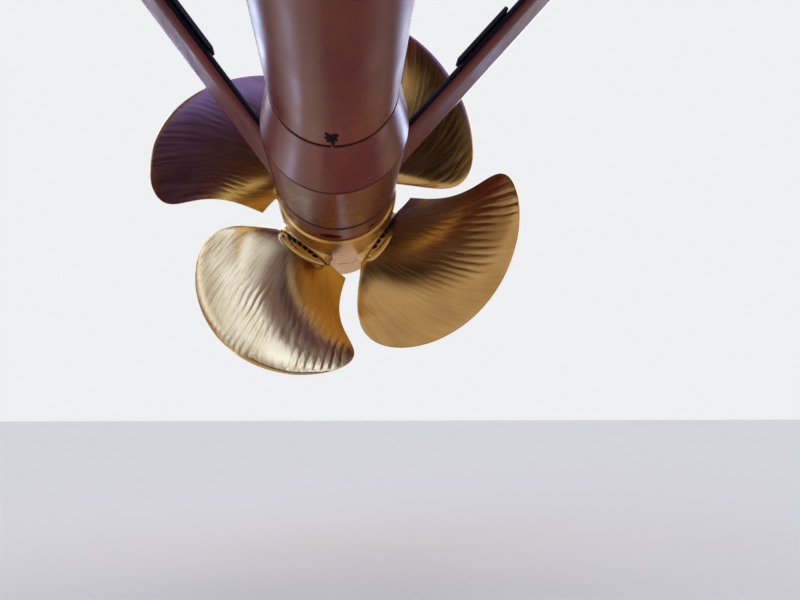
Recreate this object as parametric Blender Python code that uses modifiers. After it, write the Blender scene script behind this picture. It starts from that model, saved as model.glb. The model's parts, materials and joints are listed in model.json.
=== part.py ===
"""Ship propeller with controllable pitch, and the stern bracket that carries it.

Everything is laid out along the shaft line. Y runs aft along the shaft axis from the joint between
the shaft tube and the fairing cone, X runs to port and Z runs up. The finished part has its origin
on the flat mounting face of the port arm palm, so the shaft line hangs from one empty placed there.
"""
import math

import bmesh
import bpy
from mathutils import Matrix, Vector

# Clearances
FIT = 0.0003
RUNNING = 0.005
PALM_RIM_GAP = 0.005

# Facets round a full turn, and how far a cutter reaches past what it cuts
ROUND = 48
HOLE_SIDES = 16
NOSE_STEPS = 12
CAP_STEPS = 6
DOME_STEPS = 5
SHARP_ANGLE = 35.0
CUTTER_MARGIN = 0.20

# Shaft tube with its sleeve, its forward flange and its bearing
TUBE_RADIUS = 0.404
TUBE_WALL = 0.034
TUBE_FRONT = -2.50
JOINT_GAP = 0.012
SLEEVE_STEP = 0.032
SLEEVE_WALL = 0.020
FLANGE_RADIUS = 0.500
FLANGE_THICKNESS = 0.045
FRONT_BUSH_LENGTH = 0.40

# Fairing cone between the tube and the bracket barrel
CONE_LENGTH = 0.678
CONE_STEP = 0.003
CONE_WALL = 0.020
CONE_SEAT = 0.040

# Bracket barrel and the bush in its bore
BARREL_LENGTH = 1.134
BARREL_RADIUS = 0.514
BUSH_WALL = 0.090
BUSH_INSET = 0.045
SEAM_CHAMFER = 0.004

# Seal housing, seal liner and rope guard behind the barrel
SEAL_LENGTH = 0.242
SEAL_WALL = 0.120
LINER_INSET = 0.042
LINER_SHOW = 0.070
LINER_WALL = 0.040
GUARD_GAP = 0.012
GUARD_TAPER = 0.004
GUARD_WALL = 0.020
HOLE_COUNT = 8
WIDE_HOLE = 4
FIRST_HOLE_ANGLE = 137.0
HOLE_STEP = 42.5
WIDE_HOLE_WIDTH = 0.200
WIDE_HOLE_LENGTH = 0.150
HOLE_DIAMETER = 0.080
HOLE_INSET = 0.168

# Tail shaft with a flange at each end
SHAFT_RADIUS = 0.210
SHAFT_REACH = 0.240
SHAFT_FLANGE_RADIUS = 0.340
SHAFT_FLANGE_THICKNESS = 0.140
SHAFT_FLARE = 0.030
LINER_END_GAP = 0.010
COUPLING_RADIUS = 0.360
COUPLING_THICKNESS = 0.090

# Bracket arms and the palms at their upper ends
MOUNT_HEIGHT = 2.450
ARM_INSET = 0.126
ARM_CHORD = 0.912
ARM_THICKNESS = 0.104
ARM_NOSE = 0.115
ARM_TAPER = 0.347
ARM_TAIL = 0.030
ARM_ROOT = 0.050
PORT_ARM_ANGLE = 49.0
PORT_ARM_OFFSET = 0.386
PORT_ARM_TWIST = 0.0
STARBOARD_ARM_ANGLE = 53.2
STARBOARD_ARM_OFFSET = 0.445
STARBOARD_ARM_TWIST = 2.3
ARM_PALM_MARGIN = 0.194
ARM_PALM_WIDTH = 0.440
ARM_PALM_THICKNESS = 0.060

# Anodes on the upper faces of the arms
ANODE_LENGTH = 0.560
ANODE_WIDTH = 0.130
ANODE_THICKNESS = 0.032
ANODE_EDGE = 0.010
ANODE_PLACE = 1.280
ANODE_INSET = 0.030

# Hub and its cap
HUB_LENGTH = 1.270
HUB_RADIUS = 0.545
HUB_FRONT_DROP = 0.030
HUB_FRONT_EDGE = 0.030
HUB_SHOULDER = 0.200
HUB_SHOULDER_DROP = 0.010
HUB_STEP = 0.025
HUB_STEP_PLACE = 0.960
HUB_STEP_SLOPE = 0.015
CAP_LENGTH = 0.680
CAP_RADIUS = 0.518
CAP_END_RADIUS = 0.300
CAP_EDGE = 0.006
CAP_ROUNDING = 0.160
COVER_RADIUS = 0.180
COVER_THICKNESS = 0.030
COVER_EDGE = 0.008
POCKETS_BETWEEN = 3
POCKET_MIDDLE = 43.0
POCKET_STEP = 15.0
POCKET_WIDTH = 0.105
POCKET_LENGTH = 0.050
POCKET_DEPTH = 0.045
POCKET_INSET = 0.140

# Round palms of the blades, in seats in the flats of the hub
PALM_RADIUS = 0.300
PALM_TOP = 0.510
PALM_DEPTH = 0.130
PALM_PROUD = 0.040
PALM_RIM_RISE = 0.021
PALM_CROWN_RISE = 0.100
FLAT_MARGIN = 0.055

# Blades
BLADE_COUNT = 4
FIRST_BLADE_ANGLE = 54.0
SPINDLE_INSET = 0.780
TIP_RADIUS = 1.800
LAW_RADIUS = 0.585
PITCH_RATIO_ROOT = 1.029
PITCH_RATIO_TIP = 0.880
PITCH_SET = -44.3
SKEW_ROOT = 5.0
SKEW_FIRST = -23.8
SKEW_SECOND = 24.5
SKEW_THIRD = 23.3
ROOT_CHORD = 0.839
CHORD_GAIN = 1.895
CHORD_LOSS = 0.058
RAKE_FORWARD = 0.403
RAKE_RETURN = 0.225
TIP_ROUNDING = 4.82
ROOT_THICKNESS = 0.170
MID_THICKNESS = 0.062
TIP_THICKNESS = 0.018
EDGE_THICKNESS = 0.008
THICKEST_SHARE = 0.25
CAMBER = 0.018
ROOT_DEPTH = 0.060
RIM_BLEND = 0.060
RIM_INSET = 0.020
RIM_LIFT = 0.012
LEADING_ROOT_LIFT = 0.020
TRAILING_ROOT_LIFT = 0.038
LAST_ROW = 0.9985
ROW_CROWDING = 1.6
SPAN_STEPS = 18
CHORD_STEPS = 14

# Places along the shaft line and radii that follow from the sizes above
SLEEVE_RADIUS = TUBE_RADIUS - SLEEVE_STEP
BARREL_FRONT = JOINT_GAP / 2.0 + CONE_LENGTH
BARREL_AFT = BARREL_FRONT + BARREL_LENGTH
BARREL_BORE = SHAFT_RADIUS + BUSH_WALL
SEAL_AFT = BARREL_AFT + SEAL_LENGTH
LINER_AFT = SEAL_AFT + LINER_SHOW
LINER_RADIUS = SHAFT_RADIUS + LINER_WALL
SHAFT_FLANGE_FRONT = LINER_AFT + LINER_END_GAP + SHAFT_FLARE
HUB_FRONT = SHAFT_FLANGE_FRONT + SHAFT_FLANGE_THICKNESS
HUB_AFT = HUB_FRONT + HUB_LENGTH
CAP_AFT = HUB_AFT + CAP_LENGTH
GUARD_AFT = HUB_FRONT - GUARD_GAP
GUARD_AFT_RADIUS = BARREL_RADIUS - GUARD_TAPER
SPINDLE_PLACE = HUB_FRONT + SPINDLE_INSET
SEAT_HEIGHT = PALM_TOP - PALM_DEPTH
ARM_FRONT = BARREL_FRONT + ARM_INSET
ARM_AFT = ARM_FRONT + ARM_CHORD
ARM_MIDDLE = ARM_FRONT + ARM_CHORD / 2.0


def clear_scene():
    """Empty the scene that the script runs in."""
    for item in list(bpy.data.objects):
        bpy.data.objects.remove(item, do_unlink=True)


def new_collection(name):
    """A collection linked to the scene."""
    group = bpy.data.collections.new(name)
    bpy.context.scene.collection.children.link(group)
    return group


def new_material(name, colour, roughness, metallic):
    """A Principled material of one colour."""
    material = bpy.data.materials.new(name)
    material.use_nodes = True
    shader = material.node_tree.nodes["Principled BSDF"]
    shader.inputs["Base Color"].default_value = (*colour, 1.0)
    shader.inputs["Roughness"].default_value = roughness
    shader.inputs["Metallic"].default_value = metallic
    return material


def new_object(name, mesh, group, parent=None, material=None):
    """An object in a collection, under its parent, with its material."""
    item = bpy.data.objects.new(name, mesh)
    group.objects.link(item)
    item.parent = parent
    if material is not None:
        mesh.materials.append(material)
    return item


def smooth(item):
    """Shade a round piece smooth between its sharp edges."""
    item.data.shade_smooth()
    item.data.set_sharp_from_angle(angle=math.radians(SHARP_ANGLE))


def bore_for(radius, gap):
    """Corner radius of a faceted bore that clears a turning shaft by the gap."""
    return (radius + gap) / math.cos(math.pi / ROUND)


def plug_for(radius, gap):
    """Corner radius of a faceted piece that sits still in a bore with the same facets."""
    return radius - gap / math.cos(math.pi / ROUND)


def socket_for(radius, gap):
    """Corner radius of a faceted hole round a fixed piece with the same facets."""
    return radius + gap / math.cos(math.pi / ROUND)


def add_screw(item):
    """Turn the profile of an object once round its own Z axis."""
    screw = item.modifiers.new("Turned", "SCREW")
    screw.axis = "Z"
    screw.angle = math.tau
    screw.steps = ROUND
    screw.render_steps = ROUND
    screw.use_merge_vertices = True
    screw.merge_threshold = 0.00005


def turned(name, outer, inner, group, parent, material):
    """A turned piece. Both profiles are (y, radius) pairs from forward to aft, and inner may be empty."""
    loop = [(radius, place) for place, radius in reversed(outer)]
    loop += [(radius, place) for place, radius in inner]
    mesh = bpy.data.meshes.new(name)
    bm = bmesh.new()
    points = [bm.verts.new((radius, 0.0, place)) for radius, place in loop]
    for first, second in zip(points, points[1:]):
        bm.edges.new((first, second))
    if inner:
        bm.edges.new((points[-1], points[0]))
    bm.to_mesh(mesh)
    bm.free()
    item = new_object(name, mesh, group, parent, material)
    item.rotation_euler = (math.radians(-90.0), 0.0, 0.0)
    add_screw(item)
    smooth(item)
    return item


def cut(item, cutter):
    """Cut one object with another."""
    boolean = item.modifiers.new(cutter.name, "BOOLEAN")
    boolean.operation = "DIFFERENCE"
    boolean.solver = "EXACT"
    boolean.object = cutter


def join(item, other):
    """Join a helper object to a piece."""
    boolean = item.modifiers.new(other.name, "BOOLEAN")
    boolean.operation = "UNION"
    boolean.solver = "EXACT"
    boolean.object = other


def hide_cutter(item):
    """Show a cutter only as wire."""
    item.hide_render = True
    item.display_type = "WIRE"
    return item


def cylinder(name, radius, low, high, group, parent, material=None):
    """A cylinder along its own Z axis, from low to high."""
    mesh = bpy.data.meshes.new(name)
    bm = bmesh.new()
    bmesh.ops.create_cone(
        bm, cap_ends=True, segments=ROUND, radius1=radius, radius2=radius, depth=high - low,
        matrix=Matrix.Translation((0.0, 0.0, (low + high) / 2.0)))
    bm.to_mesh(mesh)
    bm.free()
    return new_object(name, mesh, group, parent, material)


def domed_disc(name, radius, low, rim, crown, group, parent, material=None):
    """A cylinder along its own Z axis whose top is a shallow dome from its rim up to its crown."""
    curve = (radius ** 2 + (crown - rim) ** 2) / (2.0 * (crown - rim))
    profile = [(radius, low)]
    for step in range(DOME_STEPS):
        out = radius * (1.0 - step / DOME_STEPS)
        profile.append((out, crown - curve + math.sqrt(curve ** 2 - out ** 2)))
    bm = bmesh.new()
    rings = []
    for out, height in profile:
        turns = [math.tau * step / ROUND for step in range(ROUND)]
        rings.append([bm.verts.new((out * math.cos(turn), out * math.sin(turn), height)) for turn in turns])
    for inner, outer in zip(rings, rings[1:]):
        for first in range(ROUND):
            second = (first + 1) % ROUND
            bm.faces.new((inner[first], inner[second], outer[second], outer[first]))
    bm.faces.new(rings[0])
    bm.faces.new(rings[-1])
    bmesh.ops.recalc_face_normals(bm, faces=bm.faces)
    mesh = bpy.data.meshes.new(name)
    bm.to_mesh(mesh)
    bm.free()
    return new_object(name, mesh, group, parent, material)


def block(name, size, centre, group, parent, material=None):
    """A box of the given size round a centre."""
    mesh = bpy.data.meshes.new(name)
    bm = bmesh.new()
    bmesh.ops.create_cube(bm, size=1.0, matrix=Matrix.Translation(centre) @ Matrix.Diagonal((*size, 1.0)))
    bm.to_mesh(mesh)
    bm.free()
    return new_object(name, mesh, group, parent, material)


def prism(name, outline, low, high, group, parent, material=None):
    """An outline in X and Y, extruded along Z from low to high."""
    mesh = bpy.data.meshes.new(name)
    bm = bmesh.new()
    base = bm.faces.new([bm.verts.new((x, y, low)) for x, y in outline])
    grown = bmesh.ops.extrude_face_region(bm, geom=[base])
    moved = [part for part in grown["geom"] if isinstance(part, bmesh.types.BMVert)]
    bmesh.ops.translate(bm, verts=moved, vec=(0.0, 0.0, high - low))
    bmesh.ops.recalc_face_normals(bm, faces=bm.faces)
    bm.to_mesh(mesh)
    bm.free()
    return new_object(name, mesh, group, parent, material)


def empty(name, group, parent=None, location=(0.0, 0.0, 0.0), rotation=(0.0, 0.0, 0.0)):
    """An empty that carries pieces."""
    item = new_object(name, None, group, parent)
    item.location = location
    item.rotation_euler = rotation
    return item


def radial_turn(angle):
    """Rotation that points an object's Z axis away from the shaft axis at an angle from +X."""
    return (0.0, math.radians(90.0 - angle), 0.0)


def arm_length(angle, offset):
    """Distance along an arm from beside the shaft axis to the mounting face of its palm."""
    tilt = math.radians(angle)
    return (MOUNT_HEIGHT + offset * math.cos(tilt)) / math.sin(tilt)


def palm_centre(side, angle, offset):
    """Centre of the mounting face of an arm palm. side is 1 to port and -1 to starboard."""
    tilt = math.radians(angle)
    across = arm_length(angle, offset) * math.cos(tilt) + offset * math.sin(tilt)
    return Vector((side * across, ARM_MIDDLE, MOUNT_HEIGHT))


def build_tube(group, line, paint, bronze):
    """Shaft tube with its sleeve, forward flange and forward bush."""
    bore = TUBE_RADIUS - TUBE_WALL
    sleeve_bore = SLEEVE_RADIUS - SLEEVE_WALL
    joint = -JOINT_GAP / 2.0
    end = BARREL_FRONT - FIT
    turned(
        "shaft_tube",
        [(TUBE_FRONT, TUBE_RADIUS), (joint, TUBE_RADIUS), (joint, SLEEVE_RADIUS), (end, SLEEVE_RADIUS)],
        [(TUBE_FRONT, bore), (joint, bore), (joint + TUBE_WALL, sleeve_bore), (end, sleeve_bore)],
        group, line, paint)
    front = TUBE_FRONT - FIT
    turned(
        "tube_flange",
        [(front - FLANGE_THICKNESS, FLANGE_RADIUS), (front, FLANGE_RADIUS)],
        [(front - FLANGE_THICKNESS, bore), (front, bore)],
        group, line, paint)
    shell = plug_for(bore, FIT)
    journal = bore_for(SHAFT_RADIUS, FIT)
    aft = TUBE_FRONT + FRONT_BUSH_LENGTH
    turned(
        "forward_bush",
        [(TUBE_FRONT, shell), (aft, shell)],
        [(TUBE_FRONT, journal), (aft, journal)],
        group, line, bronze)


def build_cone(group, line, paint):
    """Fairing cone over the sleeve, from the tube up to the barrel."""
    sleeve = socket_for(SLEEVE_RADIUS, FIT)
    front = JOINT_GAP / 2.0
    aft = BARREL_FRONT - FIT
    turned(
        "fairing_cone",
        [(front, TUBE_RADIUS + CONE_STEP), (aft - SEAM_CHAMFER, BARREL_RADIUS),
         (aft, BARREL_RADIUS - SEAM_CHAMFER)],
        [(front, sleeve), (front + CONE_SEAT, sleeve), (aft, BARREL_RADIUS - CONE_WALL)],
        group, line, paint)


def build_barrel(group, line, paint, bronze, steel):
    """Bracket barrel, the bush in its bore and the seal housing on its aft face."""
    turned(
        "bracket_barrel",
        [(BARREL_FRONT, BARREL_RADIUS - SEAM_CHAMFER), (BARREL_FRONT + SEAM_CHAMFER, BARREL_RADIUS),
         (BARREL_AFT - SEAM_CHAMFER, BARREL_RADIUS), (BARREL_AFT, BARREL_RADIUS - SEAM_CHAMFER)],
        [(BARREL_FRONT, BARREL_BORE), (BARREL_AFT, BARREL_BORE)],
        group, line, paint)
    shell = plug_for(BARREL_BORE, FIT)
    journal = bore_for(SHAFT_RADIUS, FIT)
    turned(
        "aft_bush",
        [(BARREL_FRONT + BUSH_INSET, shell), (BARREL_AFT - BUSH_INSET, shell)],
        [(BARREL_FRONT + BUSH_INSET, journal), (BARREL_AFT - BUSH_INSET, journal)],
        group, line, bronze)
    front = BARREL_AFT + FIT
    clear = bore_for(LINER_RADIUS, RUNNING)
    turned(
        "seal_housing",
        [(front, LINER_RADIUS + SEAL_WALL), (SEAL_AFT, LINER_RADIUS + SEAL_WALL)],
        [(front, clear), (SEAL_AFT, clear)],
        group, line, steel)


def oval(width, length):
    """Outline of an ellipse in X and Y."""
    steps = [math.tau * step / HOLE_SIDES for step in range(HOLE_SIDES)]
    return [(width / 2.0 * math.cos(turn), length / 2.0 * math.sin(turn)) for turn in steps]


def build_guard(group, tools, line, paint):
    """Rope guard in two halves, with a row of round holes, of which the lowest is a wide oval.

    The halves meet in the middle of the widest space between holes and opposite it.
    """
    front = BARREL_AFT + FIT
    middle = FIRST_HOLE_ANGLE + HOLE_STEP * (HOLE_COUNT - 1) / 2.0
    size = 2.0 * (BARREL_RADIUS + CUTTER_MARGIN)
    for name, side in (("rope_guard_port_half", 1.0), ("rope_guard_starboard_half", -1.0)):
        half = turned(
            name,
            [(front, BARREL_RADIUS - SEAM_CHAMFER), (front + SEAM_CHAMFER, BARREL_RADIUS),
             (GUARD_AFT, GUARD_AFT_RADIUS)],
            [(front, BARREL_RADIUS - GUARD_WALL), (GUARD_AFT, GUARD_AFT_RADIUS - GUARD_WALL)],
            group, line, paint)
        other = block(
            f"{name}_cutter", (size, size, size), (side * (size - FIT) / 2.0, 0.0, 0.0), tools, line)
        other.location = (0.0, GUARD_AFT, 0.0)
        other.rotation_euler = radial_turn(middle)
        cut(half, hide_cutter(other))
        for number in range(HOLE_COUNT):
            angle = FIRST_HOLE_ANGLE + HOLE_STEP * number
            if (angle > middle) == (side > 0.0):
                outline = oval(HOLE_DIAMETER, HOLE_DIAMETER)
                if number + 1 == WIDE_HOLE:
                    outline = oval(WIDE_HOLE_WIDTH, WIDE_HOLE_LENGTH)
                cut(half, hide_cutter(hole_cutter(f"hole_cutter_{number + 1}", outline, angle, tools, line)))


def hole_cutter(name, outline, angle, tools, line):
    """Prism that cuts one hole through the wall of the rope guard."""
    reach = GUARD_WALL + BARREL_RADIUS - GUARD_AFT_RADIUS
    cutter = prism(
        name, outline, GUARD_AFT_RADIUS - 3.0 * reach, GUARD_AFT_RADIUS + 3.0 * reach, tools, line)
    cutter.location = (0.0, GUARD_AFT - HOLE_INSET, 0.0)
    cutter.rotation_euler = radial_turn(angle)
    return cutter


def arm_section():
    """Rounded nose, straight flanks and a tapered tail, in thickness (X) and chord (Y)."""
    half = ARM_THICKNESS / 2.0
    turns = [math.pi * step / NOSE_STEPS for step in range(NOSE_STEPS + 1)]
    points = [(half * math.cos(turn), ARM_FRONT + ARM_NOSE * (1.0 - math.sin(turn))) for turn in turns]
    points += [
        (-half, ARM_AFT - ARM_TAPER),
        (-ARM_TAIL / 2.0, ARM_AFT - ARM_TAIL / 2.0),
        (-ARM_TAIL / 4.0, ARM_AFT),
        (ARM_TAIL / 4.0, ARM_AFT),
        (ARM_TAIL / 2.0, ARM_AFT - ARM_TAIL / 2.0),
        (half, ARM_AFT - ARM_TAPER),
    ]
    return [(x, y - ARM_MIDDLE) for x, y in points]


def build_arm(name, side, angle, offset, twist, group, tools, line, paint, zinc):
    """One arm of the V, the palm on its upper end and the anode on its upper face.

    The arm turns by its twist round its own length, so that its tail moves outwards.
    """
    lean = math.radians(90.0 - angle)
    foot = empty(
        f"{name}_line", group, line,
        (side * offset * math.cos(lean), ARM_MIDDLE, -offset * math.sin(lean)))
    foot.rotation_mode = "ZYX"
    foot.rotation_euler = (0.0, side * lean, -side * math.radians(twist))
    reach = arm_length(angle, offset)
    arm = prism(name, arm_section(), ARM_ROOT, reach + ARM_PALM_WIDTH, group, foot, paint)
    barrel = cylinder(
        f"{name}_barrel_cutter", socket_for(BARREL_RADIUS, FIT),
        ARM_FRONT - CUTTER_MARGIN, ARM_AFT + CUTTER_MARGIN, tools, line)
    barrel.rotation_euler = (math.radians(-90.0), 0.0, 0.0)
    cut(arm, hide_cutter(barrel))
    centre = palm_centre(side, angle, offset)
    length = ARM_CHORD + 2.0 * ARM_PALM_MARGIN
    size = 2.0 * length
    top = block(
        f"{name}_top_cutter", (size, size, size),
        (centre.x, centre.y, MOUNT_HEIGHT - ARM_PALM_THICKNESS - FIT + size / 2.0), tools, line)
    cut(arm, hide_cutter(top))
    palm = prism(
        f"{name}_palm", oval_plate(ARM_PALM_WIDTH, length),
        -ARM_PALM_THICKNESS, 0.0, group, line, paint)
    palm.location = centre
    anode = block(
        f"{name}_anode", (ANODE_THICKNESS, ANODE_WIDTH, ANODE_LENGTH),
        (-side * (ARM_THICKNESS / 2.0 + FIT + ANODE_THICKNESS / 2.0),
         ANODE_INSET + ANODE_WIDTH / 2.0 - ARM_CHORD / 2.0, ANODE_PLACE),
        group, foot, zinc)
    bevel = anode.modifiers.new("Rounded edges", "BEVEL")
    bevel.width = ANODE_EDGE
    bevel.segments = 2


def oval_plate(width, length):
    """Outline of a plate with half-round ends, in X and Y."""
    radius = width / 2.0
    reach = length / 2.0 - radius
    points = []
    for sign in (1.0, -1.0):
        for step in range(NOSE_STEPS + 1):
            turn = math.pi * step / NOSE_STEPS
            points.append((sign * radius * math.cos(turn), sign * (reach + radius * math.sin(turn))))
    return points


def build_shaft(group, spin, steel):
    """Tail shaft with its hub flange, the coupling flange forward and the seal liner."""
    front = TUBE_FRONT - SHAFT_REACH
    aft = HUB_FRONT - FIT
    turned(
        "tail_shaft",
        [(front, 0.0), (front, SHAFT_RADIUS), (SHAFT_FLANGE_FRONT - SHAFT_FLARE, SHAFT_RADIUS),
         (SHAFT_FLANGE_FRONT, SHAFT_RADIUS + SHAFT_FLARE), (SHAFT_FLANGE_FRONT, SHAFT_FLANGE_RADIUS),
         (aft, SHAFT_FLANGE_RADIUS), (aft, 0.0)],
        [], group, spin, steel)
    bore = bore_for(SHAFT_RADIUS, FIT)
    turned(
        "shaft_coupling",
        [(front, COUPLING_RADIUS), (front + COUPLING_THICKNESS, COUPLING_RADIUS)],
        [(front, bore), (front + COUPLING_THICKNESS, bore)],
        group, spin, steel)
    turned(
        "seal_liner",
        [(BARREL_AFT + LINER_INSET, LINER_RADIUS), (LINER_AFT, LINER_RADIUS)],
        [(BARREL_AFT + LINER_INSET, bore), (LINER_AFT, bore)],
        group, spin, steel)


def blade_angle(number):
    """Angle of a blade's spindle from +X towards +Z, in degrees. number counts from 1."""
    return FIRST_BLADE_ANGLE + 360.0 * (number - 1) / BLADE_COUNT


def cap_end():
    """Quarter ellipse from the side of the hub cap to its flat end."""
    points = []
    for step in range(CAP_STEPS + 1):
        turn = math.pi / 2.0 * step / CAP_STEPS
        place = CAP_AFT - CAP_ROUNDING * (1.0 - math.sin(turn))
        points.append((place, CAP_END_RADIUS + (CAP_RADIUS - CAP_END_RADIUS) * math.cos(turn)))
    return points


def build_hub(group, tools, spin, bronze):
    """Hub body with a flat and a round seat for each blade, and bolt pockets between the seats."""
    waist = HUB_RADIUS - HUB_STEP
    step = HUB_FRONT + HUB_STEP_PLACE
    hub = turned(
        "hub_body",
        [(HUB_FRONT, 0.0), (HUB_FRONT, HUB_RADIUS - HUB_FRONT_DROP),
         (HUB_FRONT + HUB_FRONT_EDGE, HUB_RADIUS - HUB_SHOULDER_DROP), (HUB_FRONT + HUB_SHOULDER, HUB_RADIUS),
         (step, HUB_RADIUS), (step + HUB_STEP_SLOPE, waist), (HUB_AFT, waist), (HUB_AFT, 0.0)],
        [], group, spin, bronze)
    reach = HUB_RADIUS + CUTTER_MARGIN
    for number in range(1, BLADE_COUNT + 1):
        angle = blade_angle(number)
        flat = cylinder(
            f"flat_cutter_{number}", PALM_RADIUS + FLAT_MARGIN, PALM_TOP - PALM_PROUD, reach, tools, spin)
        seat = cylinder(
            f"seat_cutter_{number}", bore_for(PALM_RADIUS, PALM_RIM_GAP), SEAT_HEIGHT, reach, tools, spin)
        for cutter in (flat, seat):
            cutter.location = (0.0, SPINDLE_PLACE, 0.0)
            cutter.rotation_euler = radial_turn(angle)
            cut(hub, hide_cutter(cutter))
        for place in range(POCKETS_BETWEEN):
            turn = POCKET_MIDDLE + POCKET_STEP * (place - (POCKETS_BETWEEN - 1) / 2.0)
            pocket = block(
                f"pocket_cutter_{number}_{place + 1}", (POCKET_WIDTH, POCKET_LENGTH, 2.0 * POCKET_DEPTH),
                (0.0, HUB_AFT - POCKET_INSET - POCKET_LENGTH / 2.0, waist), tools, spin)
            pocket.rotation_euler = radial_turn(angle + turn)
            cut(hub, hide_cutter(pocket))


def build_cap(group, spin, bronze):
    """Hub cap with its rounded end and the cover over the oil plug."""
    front = HUB_AFT + FIT
    outline = [(front, 0.0), (front, CAP_RADIUS - CAP_EDGE), (front + CAP_EDGE, CAP_RADIUS)]
    outline += cap_end() + [(CAP_AFT, 0.0)]
    turned("hub_cap", outline, [], group, spin, bronze)
    face = CAP_AFT + FIT
    turned(
        "cap_cover",
        [(face, 0.0), (face, COVER_RADIUS), (face + COVER_THICKNESS - COVER_EDGE, COVER_RADIUS),
         (face + COVER_THICKNESS, COVER_RADIUS - COVER_EDGE), (face + COVER_THICKNESS, 0.0)],
        [], group, spin, bronze)


def span_share(radius):
    """Share of the way from the radius where the laws start to the tip."""
    return (radius - LAW_RADIUS) / (TIP_RADIUS - LAW_RADIUS)


def span_radius(share):
    """Radius at a share of the way along the span."""
    return LAW_RADIUS + share * (TIP_RADIUS - LAW_RADIUS)


def skew_at(share):
    """Skew angle of the mid chord line, in radians."""
    turn = SKEW_ROOT + SKEW_FIRST * share + SKEW_SECOND * share ** 2 + SKEW_THIRD * share ** 3
    return math.radians(turn)


def chord_at(share):
    """Chord length, rounded off towards the tip."""
    rounding = math.sqrt(max(0.0, 1.0 - max(share, 0.0) ** TIP_ROUNDING))
    return (ROOT_CHORD + CHORD_GAIN * share - CHORD_LOSS * share ** 2) * rounding


def pitch_at(share):
    """Pitch of the blade at its ahead setting, in metres a turn."""
    ratio = PITCH_RATIO_ROOT + (PITCH_RATIO_TIP - PITCH_RATIO_ROOT) * share
    return ratio * 2.0 * TIP_RADIUS


def rake_at(share):
    """Rake of the mid chord line, aft positive."""
    return RAKE_RETURN * share ** 2 - RAKE_FORWARD * share


def thickness_at(share):
    """Greatest thickness of the section, falling off fast from the root."""
    fall = max(0.0, 1.0 - share)
    return TIP_THICKNESS + (MID_THICKNESS - TIP_THICKNESS) * fall + (
        ROOT_THICKNESS - MID_THICKNESS) * fall ** 3


def half_thickness(along, thickness):
    """Half thickness at a share of the chord from the leading edge."""
    shape = 2.969 * math.sqrt(along) - 1.260 * along - 3.516 * along ** 2
    shape += 2.843 * along ** 3 - 1.015 * along ** 4
    return thickness / 2.0 * shape + EDGE_THICKNESS / 2.0 * math.sqrt(along)


def root_slope():
    """Angle between the root section and the plane across the shaft, at the ahead setting."""
    return math.atan2(pitch_at(0.0), math.tau * LAW_RADIUS)


def root_reach(along):
    """Distance along the root section from the spindle, aft of it positive, by share of the chord."""
    return (along - 0.5) * ROOT_CHORD + LAW_RADIUS * math.radians(SKEW_ROOT) / math.cos(root_slope())


def root_height(along):
    """Height of the blade's inner edge along the spindle, by share of the chord.

    The middle is sunk in the palm, and both ends pass over its rim.
    """
    reach = root_reach(along)
    blend = (abs(reach) - PALM_RADIUS + RIM_INSET + RIM_BLEND) / RIM_BLEND
    blend = min(1.0, max(0.0, blend))
    blend = blend * blend * (3.0 - 2.0 * blend)
    end = root_reach(0.0) if reach < 0.0 else root_reach(1.0)
    end_lift = LEADING_ROOT_LIFT if reach < 0.0 else TRAILING_ROOT_LIFT
    outside = max(0.0, (abs(reach) - PALM_RADIUS) / (abs(end) - PALM_RADIUS))
    lift = RIM_LIFT + (end_lift - RIM_LIFT) * outside
    return PALM_TOP - ROOT_DEPTH + (lift + ROOT_DEPTH) * blend


def root_share(along):
    """Span share of the blade's inner edge, by share of the chord."""
    return span_share(math.hypot(root_height(along), root_reach(along) * math.cos(root_slope())))


def blade_point(step_share, along, face):
    """Point of the blade at its ahead setting. face is 1 forward and -1 aft.

    X points to the leading side, Y aft and Z out along the spindle.
    """
    inner = root_share(along)
    share = inner + (1.0 - inner) * step_share
    radius = span_radius(share)
    chord = chord_at(share)
    slope = math.atan2(pitch_at(share), math.tau * radius)
    out = CAMBER * chord * 4.0 * along * (1.0 - along)
    out += face * half_thickness(along, min(thickness_at(share), THICKEST_SHARE * chord))
    place = (along - 0.5) * chord
    turn = skew_at(share) + (place * math.cos(slope) + out * math.sin(slope)) / radius
    aft = rake_at(share) + skew_at(share) * pitch_at(share) / math.tau
    aft += place * math.sin(slope) - out * math.cos(slope)
    return Vector((-radius * math.sin(turn), aft, radius * math.cos(turn)))


def blade_mesh(name):
    """Loft of the blade's sections, closed at the root and at the tip."""
    bm = bmesh.new()
    alongs = [0.5 - 0.5 * math.cos(math.pi * step / CHORD_STEPS) for step in range(CHORD_STEPS + 1)]
    rows = []
    for step in range(SPAN_STEPS + 1):
        share = LAST_ROW * (1.0 - (1.0 - step / SPAN_STEPS) ** ROW_CROWDING)
        row = [bm.verts.new(blade_point(share, along, 1.0)) for along in alongs]
        row += [bm.verts.new(blade_point(share, along, -1.0)) for along in reversed(alongs[1:])]
        rows.append(row)
    for low, high in zip(rows, rows[1:]):
        for first in range(len(low)):
            second = (first + 1) % len(low)
            bm.faces.new((low[first], low[second], high[second], high[first]))
    bm.faces.new(rows[-1])
    bm.faces.new(rows[0])
    bmesh.ops.triangulate(bm, faces=bm.faces)
    bmesh.ops.recalc_face_normals(bm, faces=bm.faces)
    mesh = bpy.data.meshes.new(name)
    bm.to_mesh(mesh)
    bm.free()
    return mesh


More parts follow.
